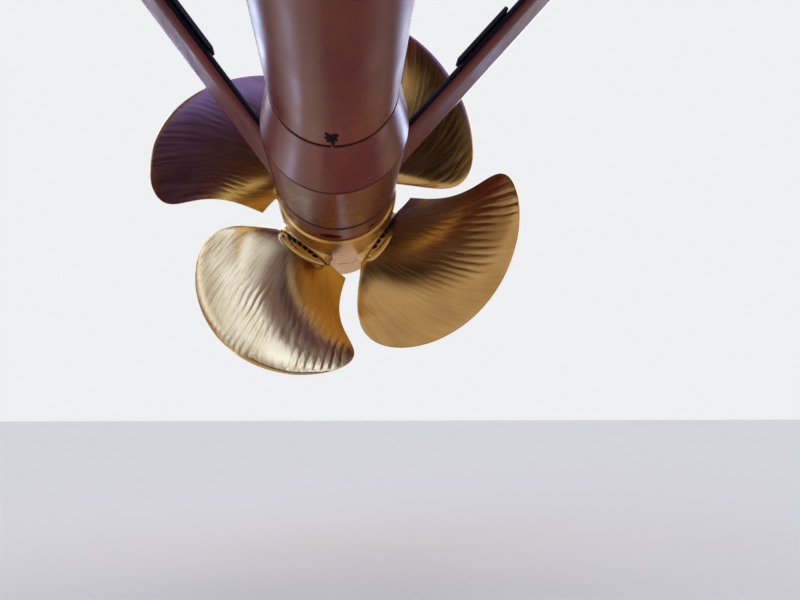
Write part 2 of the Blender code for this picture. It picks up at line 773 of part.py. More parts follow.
def build_blades(group, tools, spin, bronze):
    """The blades, each one casting with its round domed palm, turned to the set pitch."""
    for number in range(1, BLADE_COUNT + 1):
        spindle = empty(
            f"spindle_{number}", group, spin, (0.0, SPINDLE_PLACE, 0.0), radial_turn(blade_angle(number)))
        blade = domed_disc(
            f"blade_{number}", PALM_RADIUS, SEAT_HEIGHT + FIT, PALM_TOP + PALM_RIM_RISE,
            PALM_TOP + PALM_CROWN_RISE, group, spindle, bronze)
        wing = new_object(f"blade_loft_{number}", blade_mesh(f"blade_loft_{number}"), tools, spindle)
        for item in (blade, wing):
            item.rotation_euler = (0.0, 0.0, math.radians(-PITCH_SET))
        join(blade, hide_cutter(wing))
        smooth(blade)


def main():
    """Build the whole part."""
    clear_scene()
    group = new_collection("ship_propeller")
    tools = new_collection("cutters")
    paint = new_material("antifouling_paint", (0.16, 0.055, 0.045), 0.45, 0.0)
    bronze = new_material("propeller_bronze", (0.52, 0.33, 0.13), 0.35, 1.0)
    steel = new_material("shaft_steel", (0.35, 0.35, 0.36), 0.35, 1.0)
    bush = new_material("bush_bronze", (0.45, 0.30, 0.14), 0.45, 1.0)
    zinc = new_material("anode_metal", (0.10, 0.06, 0.06), 0.6, 0.0)
    line = empty("shaft_line", group, None, -palm_centre(1.0, PORT_ARM_ANGLE, PORT_ARM_OFFSET))
    spin = empty("shaft_spin", group, line)
    build_tube(group, line, paint, bush)
    build_cone(group, line, paint)
    build_barrel(group, line, paint, bush, steel)
    build_guard(group, tools, line, paint)
    build_arm(
        "port_arm", 1.0, PORT_ARM_ANGLE, PORT_ARM_OFFSET, PORT_ARM_TWIST,
        group, tools, line, paint, zinc)
    build_arm(
        "starboard_arm", -1.0, STARBOARD_ARM_ANGLE, STARBOARD_ARM_OFFSET, STARBOARD_ARM_TWIST,
        group, tools, line, paint, zinc)
    build_shaft(group, spin, steel)
    build_hub(group, tools, spin, bronze)
    build_cap(group, spin, bronze)
    build_blades(group, tools, spin, bronze)


main()
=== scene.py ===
"""Looks of a ship propeller with controllable pitch and of the stern bracket that carries it.

Everything is laid out in the part's own frame, in metres: Y runs aft along the shaft, X to port and
Z up. The shaft axis passes through AXIS. The blades are lofted here again with the laws of their
solids, only finer, and each one brings its palm, its fillet, its bolts and its ground surface.
"""
import json
import math

import bmesh
import bpy
from mathutils import Euler, Matrix, Vector, noise

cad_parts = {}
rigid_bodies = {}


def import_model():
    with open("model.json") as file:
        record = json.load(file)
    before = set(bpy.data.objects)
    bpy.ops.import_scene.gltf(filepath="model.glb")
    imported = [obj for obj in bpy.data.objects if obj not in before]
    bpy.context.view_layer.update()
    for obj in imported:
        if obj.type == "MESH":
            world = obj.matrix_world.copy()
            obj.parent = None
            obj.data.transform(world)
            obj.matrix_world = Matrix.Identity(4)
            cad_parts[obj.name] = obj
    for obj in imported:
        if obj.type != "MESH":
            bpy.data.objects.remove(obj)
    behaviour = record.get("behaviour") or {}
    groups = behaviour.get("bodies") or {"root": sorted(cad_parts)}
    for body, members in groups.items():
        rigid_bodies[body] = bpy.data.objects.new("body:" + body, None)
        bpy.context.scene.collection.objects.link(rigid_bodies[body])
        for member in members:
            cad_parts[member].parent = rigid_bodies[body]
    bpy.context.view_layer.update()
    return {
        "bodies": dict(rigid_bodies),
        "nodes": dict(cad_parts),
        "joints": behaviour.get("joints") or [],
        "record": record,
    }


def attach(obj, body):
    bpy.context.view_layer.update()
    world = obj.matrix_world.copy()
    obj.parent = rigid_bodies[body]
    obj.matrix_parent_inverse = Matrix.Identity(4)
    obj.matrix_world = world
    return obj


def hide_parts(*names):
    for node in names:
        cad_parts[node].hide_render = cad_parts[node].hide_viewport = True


# The part's own frame: a point of the shaft axis at the joint between tube and cone
AXIS = Vector((-2.641208, -1.266, -2.45))

# Camera, from the circular joints of the shaft line
CAMERA_PLACE = Vector((0.0718, -4.885, -1.979))
CAMERA_YAW = 3.91
CAMERA_PITCH = 7.49
CAMERA_ROLL = 0.08
CAMERA_LENS = 37.31
SENSOR = 36.0

# View transform of the picture
VIEW = "Standard"

# Facets round a full turn
ROUND = 192

# Shaft tube, fairing cone, bracket barrel and rope guard, as in the solids. Grooves are (width, depth)
FIT = 0.0003
TUBE_FRONT = -2.50
TUBE_RADIUS = 0.404
TUBE_BORE = 0.370
JOINT = 0.006
TUBE_GROOVE = (0.036, 0.016)
CONE_GROOVE = (0.032, 0.014)
GUARD_GROOVE = (0.064, 0.014)
SLEEVE_RADIUS = 0.372
SLEEVE_BORE = 0.352
SLEEVE_RUN = 0.034
CONE_FRONT_RADIUS = 0.407
CONE_SEAT = 0.040
CONE_WALL = 0.020
SEAM = 0.004
BARREL_RADIUS = 0.514
BARREL_BORE = 0.300
BARREL_FRONT = 0.684
BARREL_AFT = 1.818
GUARD_AFT = 2.298
GUARD_AFT_RADIUS = 0.510
GUARD_WALL = 0.020
GUARD_EDGE = 0.003
HOLE_COUNT = 8
FIRST_HOLE_ANGLE = 137.0
HOLE_STEP = 42.5
WIDE_HOLE = 3
WIDE_HOLE_SIZE = (0.200, 0.150)
HOLE_SIZE = (0.080, 0.080)
HOLE_PLACE = 2.130
HOLE_SIDES = 40
HOLE_TOOL = (0.43, 0.60)

# Near-black strips in the joints, part sealant and part painted shade of the grooves: how far their
# outside lies under the plate on tube, barrel and guard
STRIP_SUNK = (0.004, 0.003, 0.004)
STRIP_EDGE = 0.001

# Scorched spot on the tube and the strap over the joint behind it: angle, place, and half sizes
SCORCH = (269.4, -0.165, 0.040, 0.100)
SCORCH_HEIGHT = 0.014
SCORCH_RINGS = 9
SCORCH_SIDES = 64
SCORCH_RIM = 0.003
SCORCH_RAGGED = (2.4, 0.75)
SCORCH_LUMPS = (60.0, 6.0, 0.8)
STRAP = (269.2, -0.012, 0.007, 0.036)
STRAP_THICKNESS = 0.016
STRAP_EDGE = 0.004

# Bracket arms, each with its side, angle from level, offset from the axis and twist
MOUNT_HEIGHT = 2.450
ARM_FRONT = 0.810
ARM_CHORD = 0.912
ARM_MIDDLE = 1.266
ARM_THICKNESS = 0.104
ARM_NOSE = 0.115
ARM_TAPER = 0.347
ARM_TAIL = 0.030
ARM_PALM_THICKNESS = 0.060
ARMS = {"port_arm": (1.0, 49.0, 0.386, 0.0), "starboard_arm": (-1.0, 53.2, 0.445, 2.3)}
ARM_ROWS = 12
NOSE_STEPS = 96
TAIL_STEPS = 6
WELD_RADIUS = 0.011
WELD_STEP = 0.008
WELD_SIDES = 6
WELD_SINK = 0.002
WELD_LUMPS = (90.0, 0.22)
WELD_RIPPLES = (1.9, 0.10)
WELD_FULLNESS = 0.14

# Painted shade round an arm's nose, a near-black band on its upper side, in degrees from its front,
# and how far along the taper the smoother paint of the tail starts
NOSE_SHADE = (-12.0, 91.0)
TAIL_EDGE = 0.50

# Hub with its flats, seats and lifting pockets, and its cap. The hub's nose has (step aft, radius)
# points, and the cover's edge (step aft, inset) points
HUB_FRONT = 2.310
HUB_AFT = 3.580
HUB_RADIUS = 0.545
HUB_NOSE = ((0.0, 0.515), (0.030, 0.535), (0.200, HUB_RADIUS))
HUB_STEP_PLACE = 3.270
HUB_STEP = 0.015
HUB_WAIST = 0.520
HUB_EDGE = 0.004
HUB_TOOL_TOP = 0.75
SPINDLE_PLACE = 3.090
FLAT_RADIUS = 0.355
FLAT_HEIGHT = 0.470
SEAT_RADIUS = 0.3057
SEAT_SIDES = 96
LIFTING_MIDDLE = 43.0
LIFTING_STEP = 15.0
LIFTING_SIZE = (0.105, 0.050, 0.090)
LIFTING_PLACE = 3.415
CAP_AFT = 4.260
CAP_RADIUS = 0.518
CAP_END_RADIUS = 0.300
CAP_ROUNDING = 0.160
CAP_EDGE = 0.006
CAP_STEPS = 16
COVER_RADIUS = 0.180
COVER_EDGE = ((0.024, 0.0), (0.028, 0.003), (0.030, 0.008))

# Paints: least and most roughness, and specular level
PAINTS = {
    "antifouling_paint": ((0.24, 0.36), 0.6),
    "arm_paint": ((0.38, 0.52), 0.40),
    "edge_paint": ((0.10, 0.18), 1.0),
}

# Bronzes: colour, roughness, and whether their streaks fan out
BRONZES = {
    "ground_bronze": ((0.82, 0.59, 0.245), 0.19, True),
    "turned_bronze": ((0.92, 0.62, 0.215), 0.24, False),
}

# Other finishes: colour, roughness, metallic and specular level
OTHERS = {
    # near-black finish for the scorched spot, for sealant and painted shade in the joint grooves, and for
    # painted shade in the palm pockets, the palm groove and on the arm noses
    "dark_sealant": ((0.012, 0.005, 0.006), 0.75, 0.0, 0.12),
    "machined_steel": ((0.35, 0.35, 0.36), 0.35, 1.0, 0.5),
    # the bolts are kept very dark, which adds to the painted shade in their pockets
    "bolt_steel": ((0.10, 0.09, 0.08), 0.45, 1.0, 0.5),
    "bush_bronze": ((0.50, 0.34, 0.16), 0.40, 1.0, 0.5),
    # the anodes' near-black colour is painted shade of the arm's shaded upper flank
    "anode_metal": ((0.030, 0.022, 0.030), 0.55, 0.0, 0.5),
}

# Finish of each solid that stays, by the first of these that its name holds
DRESS = (
    ("anode", "anode_metal"), ("hub", "turned_bronze"), ("cap", "turned_bronze"),
    ("blade", "ground_bronze"), ("bush", "bush_bronze"), ("seal", "machined_steel"),
    ("shaft_coupling", "machined_steel"), ("tail_shaft", "machined_steel"), ("", "antifouling_paint"))

# Noises of the finishes: scale, detail and roughness, with the stretch of their coordinates, the
# colours, shares or swings over them, and the strength and distance of their bumps
BLOTCHES = (1.6, 5.0, 0.6)
BLOTCH_STRETCH = (1.0, 0.6, 1.0)
PAINT_TONES = ((0.30, (0.105, 0.011, 0.007)), (0.70, (0.175, 0.022, 0.015)))
RUNS = (1.6, 3.0, 0.5)
RUN_STRETCH = (6.0, 1.2, 6.0)
DUST_SHARES = ((0.55, 0.0), (0.85, 0.25))
DUST_COLOUR = (0.27, 0.085, 0.070)
GLOSS_PATCHES = (4.0, 1.0, 0.5)
RINGS = (2.0, 1.0, 0.5)
RING_STRETCH = (0.5, 22.0, 0.5)
RING_BUMP = (0.06, 0.001)
STAIN = (2.6, 5.0, 0.5)
STAIN_SHARES = (0.84, 0.79, 0.72)
STREAKS = (1.6, 4.0, 0.6)
STREAK_SHARES = ((0.30, 0.80), (0.65, 1.0))
STREAK_GLOSS = ((0.30, -0.06), (0.70, 0.07))
FAN_SCALES = (26.0, 1.1)
TURNING_STRETCH = (3.0, 60.0, 3.0)
GRAIN = (6.0, 3.0, 0.6)
GRAIN_BUMP = (0.35, 0.0012)
MOTTLING = (14.0, 6.0, 0.65)
MOTTLING_SHARE = 0.7
WEAR = (25.0, 4.0, 0.6)
WEAR_GLOSS = ((0.3, -0.08), (0.7, 0.08))
PITTING = (90.0, 4.0, 0.6)
PITTING_BUMP = (0.3, 0.001)
EVEN = (1.0, 1.0, 1.0)

# Surroundings: colours and shares from forward to aft, from starboard to port, and by height
SKY_COLOUR = (2.15, 2.32, 2.95)
SKY_SHARES = ((0.30, 0.40), (0.62, 0.44), (0.92, 1.0))
SKY_TINTS = ((0.30, (0.94, 1.08, 1.55)), (0.70, (1.0, 1.0, 1.05)))
SKY_EDGE = ((0.17, 0.0), (0.24, 1.0))
FORWARD_PORT = (0.71, -0.71, 0.0)
PORT_SHARES = ((0.60, 1.0), (0.85, 0.22))
BAND_COLOURS = (
    (0.0, (0.040, 0.024, 0.020)), (0.22, (0.060, 0.036, 0.026)), (0.36, (0.34, 0.24, 0.15)),
    (0.62, (0.42, 0.33, 0.24)), (0.90, (0.12, 0.08, 0.07)), (1.0, (0.08, 0.06, 0.06)))
BAND_SHARES = ((0.50, 1.0), (0.80, 0.35))
CLOUD_STRETCH = (1.0, 1.0, 0.35)
CLOUDS = (6.4, 1.5, 0.6)
CLOUD_COLOURS = ((0.40, (0.34, 0.26, 0.18)), (0.47, (0.85, 0.78, 0.66)), (0.54, (1.75, 1.90, 2.15)))
BACKDROP_COLOUR = (0.86, 0.87, 0.88)

# Floor, and how the camera sees it
FLOOR_CORNERS = ((-80.0, -9.8), (80.0, 90.0))
FLOOR_HEIGHT = -5.75
FLOOR_COLOUR = (0.63, 0.45, 0.25)
FLOOR_SEEN = (0.66, 0.57, 0.395)

# Cards that only show in gloss: corners across and along, height, colour, and glow in stops along Y
FLAG_GLOW = (
    (-26.0, (0.02, 0.015, 0.02)), (-2.5, (0.016, 0.008, 0.010)), (-0.6, (0.020, 0.007, 0.060)),
    (0.2, (0.030, 0.016, 0.150)), (1.1, (0.17, 0.17, 1.10)), (2.5, (0.20, 0.20, 1.10)),
    (2.9, (1.9, 2.0, 2.3)), (6.9, (1.9, 2.0, 2.3)))
SIDE_FLAG_GLOW = (
    (-26.0, (0.05, 0.03, 0.03)), (-6.0, (0.13, 0.075, 0.070)), (-1.0, (0.17, 0.10, 0.11)),
    (2.5, (0.10, 0.07, 0.10)), (2.9, (0.8, 0.85, 1.0)), (6.9, (0.8, 0.85, 1.0)))
STRIP_GLOW = ((3.0, (1.1, 1.1, 1.35)), (60.0, (1.1, 1.1, 1.35)))
CARDS = {
    "flag": (((-4.3, -26.0), (14.0, 6.9)), 0.35, (0.06, 0.030, 0.045), FLAG_GLOW),
    "side_flag": (((-5.6, -26.0), (-4.3, 6.9)), 0.35, (0.06, 0.030, 0.045), SIDE_FLAG_GLOW),
    "aft_mat": (((-3.6, 2.0), (5.0, 10.0)), FLOOR_HEIGHT + 0.02, (0.22, 0.10, 0.075), ()),
    "side_mat": (((-18.0, -9.8), (-5.2, -3.2)), FLOOR_HEIGHT + 0.02, (0.34, 0.21, 0.11), ()),
    "side_strip": (((-9.0, 3.0), (-7.2, 60.0)), FLOOR_HEIGHT + 0.04, (0.8, 0.8, 0.8), STRIP_GLOW),
}

# Palms and the pockets of their bolts. The groove has its outer and inner radius and its depth, and
# a bolt has (radius, height over its foot) points
PALM_RADIUS = 0.300
PALM_TOP = 0.510
PALM_RIM = 0.531
PALM_CROWN = 0.610
PALM_DOME_STEPS = 14
SEAT_HEIGHT = 0.380
PALM_EDGE = 0.006
PALM_EDGE_INSET = 0.0018
PALM_GROOVE = (0.283, 0.272, 0.012)
BOLT_COUNT = 6
BOLT_RING = 0.250
BOLT_STEP = 14.5
BOLT_SIDES = 24
BOLT_PROFILE = ((0.021, 0.0), (0.021, 0.020), (0.018, 0.023), (0.014, 0.023), (0.014, 0.008))
BOLT_DEPTH = 0.038
POCKET_RADIUS = 0.030

# Blades
BLADE_COUNT = 4
FIRST_BLADE_ANGLE = 54.0
TIP_RADIUS = 1.800
LAW_RADIUS = 0.585
PITCH_RATIO_ROOT = 1.029
PITCH_RATIO_TIP = 0.880
PITCH_SET = -44.3
SKEW_ROOT = 5.0
SKEW_FIRST = -23.8
SKEW_SECOND = 24.5
SKEW_THIRD = 23.3
ROOT_CHORD = 0.839
CHORD_GAIN = 1.895
CHORD_LOSS = 0.058
RAKE_FORWARD = 0.403
RAKE_RETURN = 0.225
TIP_ROUNDING = 4.82
ROOT_THICKNESS = 0.170
MID_THICKNESS = 0.062
TIP_THICKNESS = 0.018
EDGE_THICKNESS = 0.008
THICKEST_SHARE = 0.25
THICKNESS_LAW = (2.969, -1.260, -3.516, 2.843, -1.015)
CAMBER = 0.018
ROOT_DEPTH = 0.060
RIM_BLEND = 0.060
RIM_INSET = 0.020
RIM_LIFT = 0.012
LEADING_ROOT_LIFT = 0.020
TRAILING_ROOT_LIFT = 0.038
LAST_ROW = 0.99992
FILLET = 0.042
FILLET_REACH = (0.215, 0.285)
FILLET_ROWS = 30
FILLET_SHARE = 0.165
SPAN_ROWS = 98
CHORD_STEPS = 260
CHORD_CROWDING = 0.5
SPAN_CROWDING = 1.7

# Ground ridges of the blades, which fan out: focus across and out, bend towards the trailing edge in
# radians a metre, and degrees from ridge to ridge. They start at a reach from the palm's top and grow
# over RIDGE_RUN. Waver: (frequency, size, seed) rows. Overtone and scratch: frequency, phase, size.
# Drift: frequency, size. Swell: frequencies over and along the ridges, size, mean
MAIN_FAN = (-0.15, -0.06, 0.32, 2.7)
RIDGE_FANS = (MAIN_FAN, MAIN_FAN, (0.30, -0.60, 0.0, 1.9), MAIN_FAN)
RIDGE_HEIGHTS = (0.0005, 0.0006, 0.0017, 0.0010)
RIDGE_START = (0.25, 0.25, 0.42, 0.38)
RIDGE_RUN = 0.60
RIDGE_WAVER = ((1.7, 1.2, 0.0), (4.0, 0.3, 7.0))
RIDGE_OVERTONE = (2.0, 0.2, 0.30)
RIDGE_SCRATCH = (3.3, 0.4, 0.16)
RIDGE_DRIFT = (3.0, 0.6)
RIDGE_SWELL = (0.22, 2.4, 2.0, 0.65)
SWELL_BOUNDS = (0.10, 1.4)


def tree_of(material):
    """Node tree of a material or world."""
    material.use_nodes = True
    return material.node_tree


def set_inputs(item, values):
    """Set some of a node's own inputs by name."""
    for name, value in values.items():
        item.inputs[name].default_value = value


def new_material(name, metallic, specular):
    """A material with its node tree and its shader."""
    material = bpy.data.materials.new(name)
    tree = tree_of(material)
    shader = tree.nodes["Principled BSDF"]
    set_inputs(shader, {"Metallic": metallic, "Specular IOR Level": specular})
    return material, tree, shader


def ramp(tree, factor, stops):
    """Colour of a ramp over a socket, through (place, colour) stops. A colour may be one grey value."""
    item = tree.nodes.new("ShaderNodeValToRGB")
    band = item.color_ramp
    while len(band.elements) < len(stops):
        band.elements.new(0.5)
    for element, (place, colour) in zip(band.elements, stops):
        element.position = place
        element.color = (*colour, 1.0) if isinstance(colour, tuple) else (colour, colour, colour, 1.0)
    tree.links.new(factor, item.inputs["Fac"])
    return item.outputs["Color"]


def bump(tree, height, strength, distance):
    """Bump the material's surface by a height."""
    item = tree.nodes.new("ShaderNodeBump")
    set_inputs(item, {"Strength": strength, "Distance": distance})
    tree.links.new(height, item.inputs["Height"])
    tree.links.new(item.outputs["Normal"], tree.nodes["Principled BSDF"].inputs["Normal"])


def object_coordinates(tree, scale):
    """Object coordinates, stretched."""
    source = tree.nodes.new("ShaderNodeTexCoord")
    mapping = tree.nodes.new("ShaderNodeMapping")
    mapping.inputs["Scale"].default_value = scale
    tree.links.new(source.outputs["Object"], mapping.inputs["Vector"])
    return mapping.outputs["Vector"]


def noise_at(tree, vector, scale, detail, rough):
    """Noise texture on a vector."""
    item = tree.nodes.new("ShaderNodeTexNoise")
    set_inputs(item, {"Scale": scale, "Detail": detail, "Roughness": rough})
    tree.links.new(vector, item.inputs["Vector"])
    return item.outputs["Fac"]


def mix_colour(tree, factor, first, second, mode="MIX"):
    """Mix two colours or sockets by a factor or socket."""
    item = tree.nodes.new("ShaderNodeMix")
    item.data_type = "RGBA"
    item.blend_type = mode
    for socket, value in ((item.inputs[0], factor), (item.inputs[6], first), (item.inputs[7], second)):
        if isinstance(value, bpy.types.NodeSocket):
            tree.links.new(value, socket)
        elif isinstance(value, (int, float)):
            socket.default_value = value
        else:
            socket.default_value = (*value, 1.0)
    return item.outputs[2]


def multiply(tree, first, second):
    """Multiply two colours or sockets."""
    return mix_colour(tree, 1.0, first, second, "MULTIPLY")


def maths(tree, operation, first, *others):
    """Result of a number node on a socket. The other inputs are sockets or numbers."""
    item = tree.nodes.new("ShaderNodeMath")
    item.operation = operation
    tree.links.new(first, item.inputs[0])
    for place, value in enumerate(others, 1):
        if isinstance(value, bpy.types.NodeSocket):
            tree.links.new(value, item.inputs[place])
        else:
            item.inputs[place].default_value = value
    return item.outputs["Value"]


def vector_maths(tree, operation, first, second=None):
    """Result of a vector node on a socket, with a fixed second vector where one is given."""
    item = tree.nodes.new("ShaderNodeVectorMath")
    item.operation = operation
    tree.links.new(first, item.inputs[0])
    if second is not None:
        item.inputs[1].default_value = second
    return item.outputs["Value" if operation in ("LENGTH", "DOT_PRODUCT") else "Vector"]


def antifouling_paint(name, gloss, specular):
    """Satin red-brown paint with faint runs, dust and blotches."""
    material, tree, shader = new_material(name, 0.0, specular)
    wide = object_coordinates(tree, BLOTCH_STRETCH)
    tone = ramp(tree, noise_at(tree, wide, *BLOTCHES), PAINT_TONES)
    dust = ramp(tree, noise_at(tree, object_coordinates(tree, RUN_STRETCH), *RUNS), DUST_SHARES)
    tree.links.new(mix_colour(tree, dust, tone, DUST_COLOUR), shader.inputs["Base Color"])
    least, most = gloss
    rough = ramp(tree, noise_at(tree, wide, *GLOSS_PATCHES), [(0.30, least), (0.75, most)])
    tree.links.new(rough, shader.inputs["Roughness"])
    bump(tree, noise_at(tree, object_coordinates(tree, RING_STRETCH), *RINGS), *RING_BUMP)
    return material


def fan_coordinates(tree, around, outwards):
    """Coordinates round the shaft axis: angle, reach and place along it, each with its own scale."""
    source = tree.nodes.new("ShaderNodeTexCoord")
    shifted = vector_maths(tree, "SUBTRACT", source.outputs["Object"], AXIS)
    split = tree.nodes.new("ShaderNodeSeparateXYZ")
    tree.links.new(shifted, split.inputs["Vector"])
    angle = maths(tree, "ARCTAN2", split.outputs["X"], split.outputs["Z"])
    level = vector_maths(tree, "MULTIPLY", shifted, (1.0, 0.0, 1.0))
    reach = vector_maths(tree, "LENGTH", level)
    bent = maths(tree, "MULTIPLY_ADD", reach, RIDGE_FANS[0][2], angle)
    joined = tree.nodes.new("ShaderNodeCombineXYZ")
    scaled = (("X", bent, around), ("Y", reach, outwards), ("Z", split.outputs["Y"], outwards))
    for socket, value, scale in scaled:
        tree.links.new(maths(tree, "MULTIPLY", value, scale), joined.inputs[socket])
    return joined.outputs["Vector"]


def about(middle, swings):
    """Stops that swing about a middle value."""
    return [(place, middle + swing) for place, swing in swings]


def bronze(name, colour, roughness, streaked):
    """Nickel-aluminium bronze with faint stain, and grinding streaks that fan out on the blades."""
    material, tree, shader = new_material(name, 1.0, 0.5)
    darker = tuple(value * share for value, share in zip(colour, STAIN_SHARES))
    stain = noise_at(tree, object_coordinates(tree, EVEN), *STAIN)
    tone = ramp(tree, stain, [(0.32, darker), (0.62, colour)])
    if streaked:
        lines = fan_coordinates(tree, *FAN_SCALES)
    else:
        lines = object_coordinates(tree, TURNING_STRETCH)
    streak = noise_at(tree, lines, *STREAKS)
    tree.links.new(multiply(tree, tone, ramp(tree, streak, STREAK_SHARES)), shader.inputs["Base Color"])
    tree.links.new(ramp(tree, streak, about(roughness, STREAK_GLOSS)), shader.inputs["Roughness"])
    bump(tree, noise_at(tree, lines, *GRAIN), *GRAIN_BUMP)
    return material


def plain(name, colour, roughness, metallic, specular):
    """A simple worn metal or paint with a little mottling."""
    material, tree, shader = new_material(name, metallic, specular)
    wide = object_coordinates(tree, EVEN)
    darker = tuple(value * MOTTLING_SHARE for value in colour)
    tone = ramp(tree, noise_at(tree, wide, *MOTTLING), [(0.35, darker), (0.65, colour)])
    tree.links.new(tone, shader.inputs["Base Color"])
    rough = ramp(tree, noise_at(tree, wide, *WEAR), about(roughness, WEAR_GLOSS))
    tree.links.new(rough, shader.inputs["Roughness"])
    bump(tree, noise_at(tree, wide, *PITTING), *PITTING_BUMP)
    return material


def span_share(radius):
    """Share of the way from the radius where the laws start to the tip."""
    return (radius - LAW_RADIUS) / (TIP_RADIUS - LAW_RADIUS)


def skew_at(share):
    """Skew angle of the mid chord line, in radians."""
    turn = SKEW_ROOT + SKEW_FIRST * share + SKEW_SECOND * share ** 2 + SKEW_THIRD * share ** 3
    return math.radians(turn)


def chord_at(share):
    """Chord length, rounded off towards the tip."""
    rounding = math.sqrt(max(0.0, 1.0 - max(share, 0.0) ** TIP_ROUNDING))
    return (ROOT_CHORD + CHORD_GAIN * share - CHORD_LOSS * share ** 2) * rounding


def pitch_at(share):
    """Pitch at the ahead setting, in metres a turn."""
    return (PITCH_RATIO_ROOT + (PITCH_RATIO_TIP - PITCH_RATIO_ROOT) * share) * 2.0 * TIP_RADIUS


def thickness_at(share):
    """Greatest thickness of the section."""
    fall = max(0.0, 1.0 - share)
    return TIP_THICKNESS + (MID_THICKNESS - TIP_THICKNESS) * fall + (
        ROOT_THICKNESS - MID_THICKNESS) * fall ** 3


def half_thickness(along, thickness):
    """Half thickness at a share of the chord from the leading edge."""
    first, *rest = THICKNESS_LAW
    shape = first * math.sqrt(along) + sum(share * along ** power for power, share in enumerate(rest, 1))
    return thickness / 2.0 * shape + EDGE_THICKNESS / 2.0 * math.sqrt(along)


ROOT_SLOPE = math.atan2(pitch_at(0.0), math.tau * LAW_RADIUS)


def root_reach(along):
    """Distance along the root section from the spindle, aft of it positive."""
    return (along - 0.5) * ROOT_CHORD + LAW_RADIUS * math.radians(SKEW_ROOT) / math.cos(ROOT_SLOPE)


def rim_blend(reach):
    """0 over the middle of the palm and 1 past its rim."""
    blend = min(1.0, max(0.0, (abs(reach) - PALM_RADIUS + RIM_INSET + RIM_BLEND) / RIM_BLEND))
    return blend * blend * (3.0 - 2.0 * blend)


def root_share(along):
    """Span share of the blade's inner edge."""
    reach = root_reach(along)
    end = root_reach(0.0) if reach < 0.0 else root_reach(1.0)
    end_lift = LEADING_ROOT_LIFT if reach < 0.0 else TRAILING_ROOT_LIFT
    outside = max(0.0, (abs(reach) - PALM_RADIUS) / (abs(end) - PALM_RADIUS))
    lift = RIM_LIFT + (end_lift - RIM_LIFT) * outside
    height = PALM_TOP - ROOT_DEPTH + (lift + ROOT_DEPTH) * rim_blend(reach)
    return span_share(math.hypot(height, reach * math.cos(ROOT_SLOPE)))


def fillet_at(height):
    """How far the fillet stands off the blade at a height over the palm."""
    rest = FILLET - min(max(height, 0.0), FILLET)
    return FILLET - math.sqrt(FILLET ** 2 - rest ** 2)


def ridge_at(point, number, face):
    """Height of the ground surface over its mean at a point of the blade."""
    focus_x, focus_z, bend, step = RIDGE_FANS[number]
    seed = number * 11.0 + face * 20.0
    x, z = point.x - focus_x, point.z - focus_z
    reach = math.hypot(x, z)
    waver = sum(
        size * noise.noise(Vector((point.x * often, point.z * often, seed + more)))
        for often, size, more in RIDGE_WAVER)
    turn = (math.degrees(math.atan2(x, z)) + math.degrees(bend) * reach) / step + waver
    often, phase, size = RIDGE_OVERTONE
    wave = math.sin(math.tau * turn) + size * math.sin(math.tau * (often * turn + phase))
    often, drift = RIDGE_DRIFT
    drift *= noise.noise(Vector((turn, reach * often, seed)))
    often, phase, size = RIDGE_SCRATCH
    wave += size * math.sin(math.tau * (often * turn + phase + drift))
    over, along, size, mean = RIDGE_SWELL
    swell = mean + size * noise.noise(Vector((turn * over, reach * along, seed + 3.0)))
    least, most = SWELL_BOUNDS
    start = math.hypot(point.x, point.z - PALM_TOP)
    fade = min(1.0, max(0.0, (start - RIDGE_START[number]) / RIDGE_RUN))
    return RIDGE_HEIGHTS[number] * min(most, max(least, swell)) * fade * wave


def aft_place(share, place, slope):
    """How far aft of the spindle a point of the mean surface lies, by its place along the chord."""
    rake = RAKE_RETURN * share ** 2 - RAKE_FORWARD * share
    return rake + skew_at(share) * pitch_at(share) / math.tau + place * math.sin(slope)


def blade_point(step_share, along, face, number):
    """Point of the blade at its ahead setting. X leads, Y runs aft and Z out along the spindle."""
    inner = root_share(along)
    share = inner + (1.0 - inner) * step_share
    radius = LAW_RADIUS + share * (TIP_RADIUS - LAW_RADIUS)
    chord = chord_at(share)
    slope = math.atan2(pitch_at(share), math.tau * radius)
    place = (along - 0.5) * chord
    out = CAMBER * chord * 4.0 * along * (1.0 - along)
    half = half_thickness(along, min(thickness_at(share), THICKEST_SHARE * chord))
    aft = aft_place(share, place, slope)
    turn = skew_at(share) + place * math.cos(slope) / radius
    reach = math.hypot(radius * math.sin(turn), aft)
    height = radius * math.cos(turn) - dome_height(min(reach, PALM_RADIUS))
    fade = min(1.0, max(0.0, (reach - FILLET_REACH[0]) / (FILLET_REACH[1] - FILLET_REACH[0])))
    half += fillet_at(height) * (1.0 - fade * fade * (3.0 - 2.0 * fade))
    flat = Vector((-radius * math.sin(turn), 0.0, radius * math.cos(turn)))
    edge = min(1.0, 12.0 * along * (1.0 - along))
    half += ridge_at(flat, number, face) * edge
    out += face * half
    turn += out * math.sin(slope) / radius
    aft -= out * math.cos(slope)
    return Vector((-radius * math.sin(turn), aft, radius * math.cos(turn)))


def blade_angle(number):
    """Degrees from +X to a blade's spindle, towards +Z. number counts from 0."""
    return FIRST_BLADE_ANGLE + 360.0 * number / BLADE_COUNT


def radial_frame(angle, place):
    """Matrix of a frame on the shaft axis whose Z points outwards at an angle from +X."""
    return (
        Matrix.Translation(AXIS + Vector((0.0, place, 0.0)))
        @ Matrix.Rotation(math.radians(90.0 - angle), 4, "Y"))


def blade_frame(number):
    """Matrix from a blade's own frame to the part's frame."""
    frame = radial_frame(blade_angle(number), SPINDLE_PLACE)
    return frame @ Matrix.Rotation(math.radians(-PITCH_SET), 4, "Z")


def oval(width, length, count):
    """Outline of an ellipse."""
    turns = [math.tau * step / count for step in range(count)]
    return [(width / 2.0 * math.cos(turn), length / 2.0 * math.sin(turn)) for turn in turns]


def circle(radius, count=ROUND):
    """Outline of a circle."""
    return oval(2.0 * radius, 2.0 * radius, count)


def rectangle(width, length):
    """Outline of a rectangle."""
    x, y = width / 2.0, length / 2.0
    return [(-x, -y), (x, -y), (x, y), (-x, y)]


def smooth_to(mesh, angle):
    """Shade a mesh smooth, with sharp edges past an angle in degrees."""
    mesh.shade_smooth()
    mesh.set_sharp_from_angle(angle=math.radians(angle))


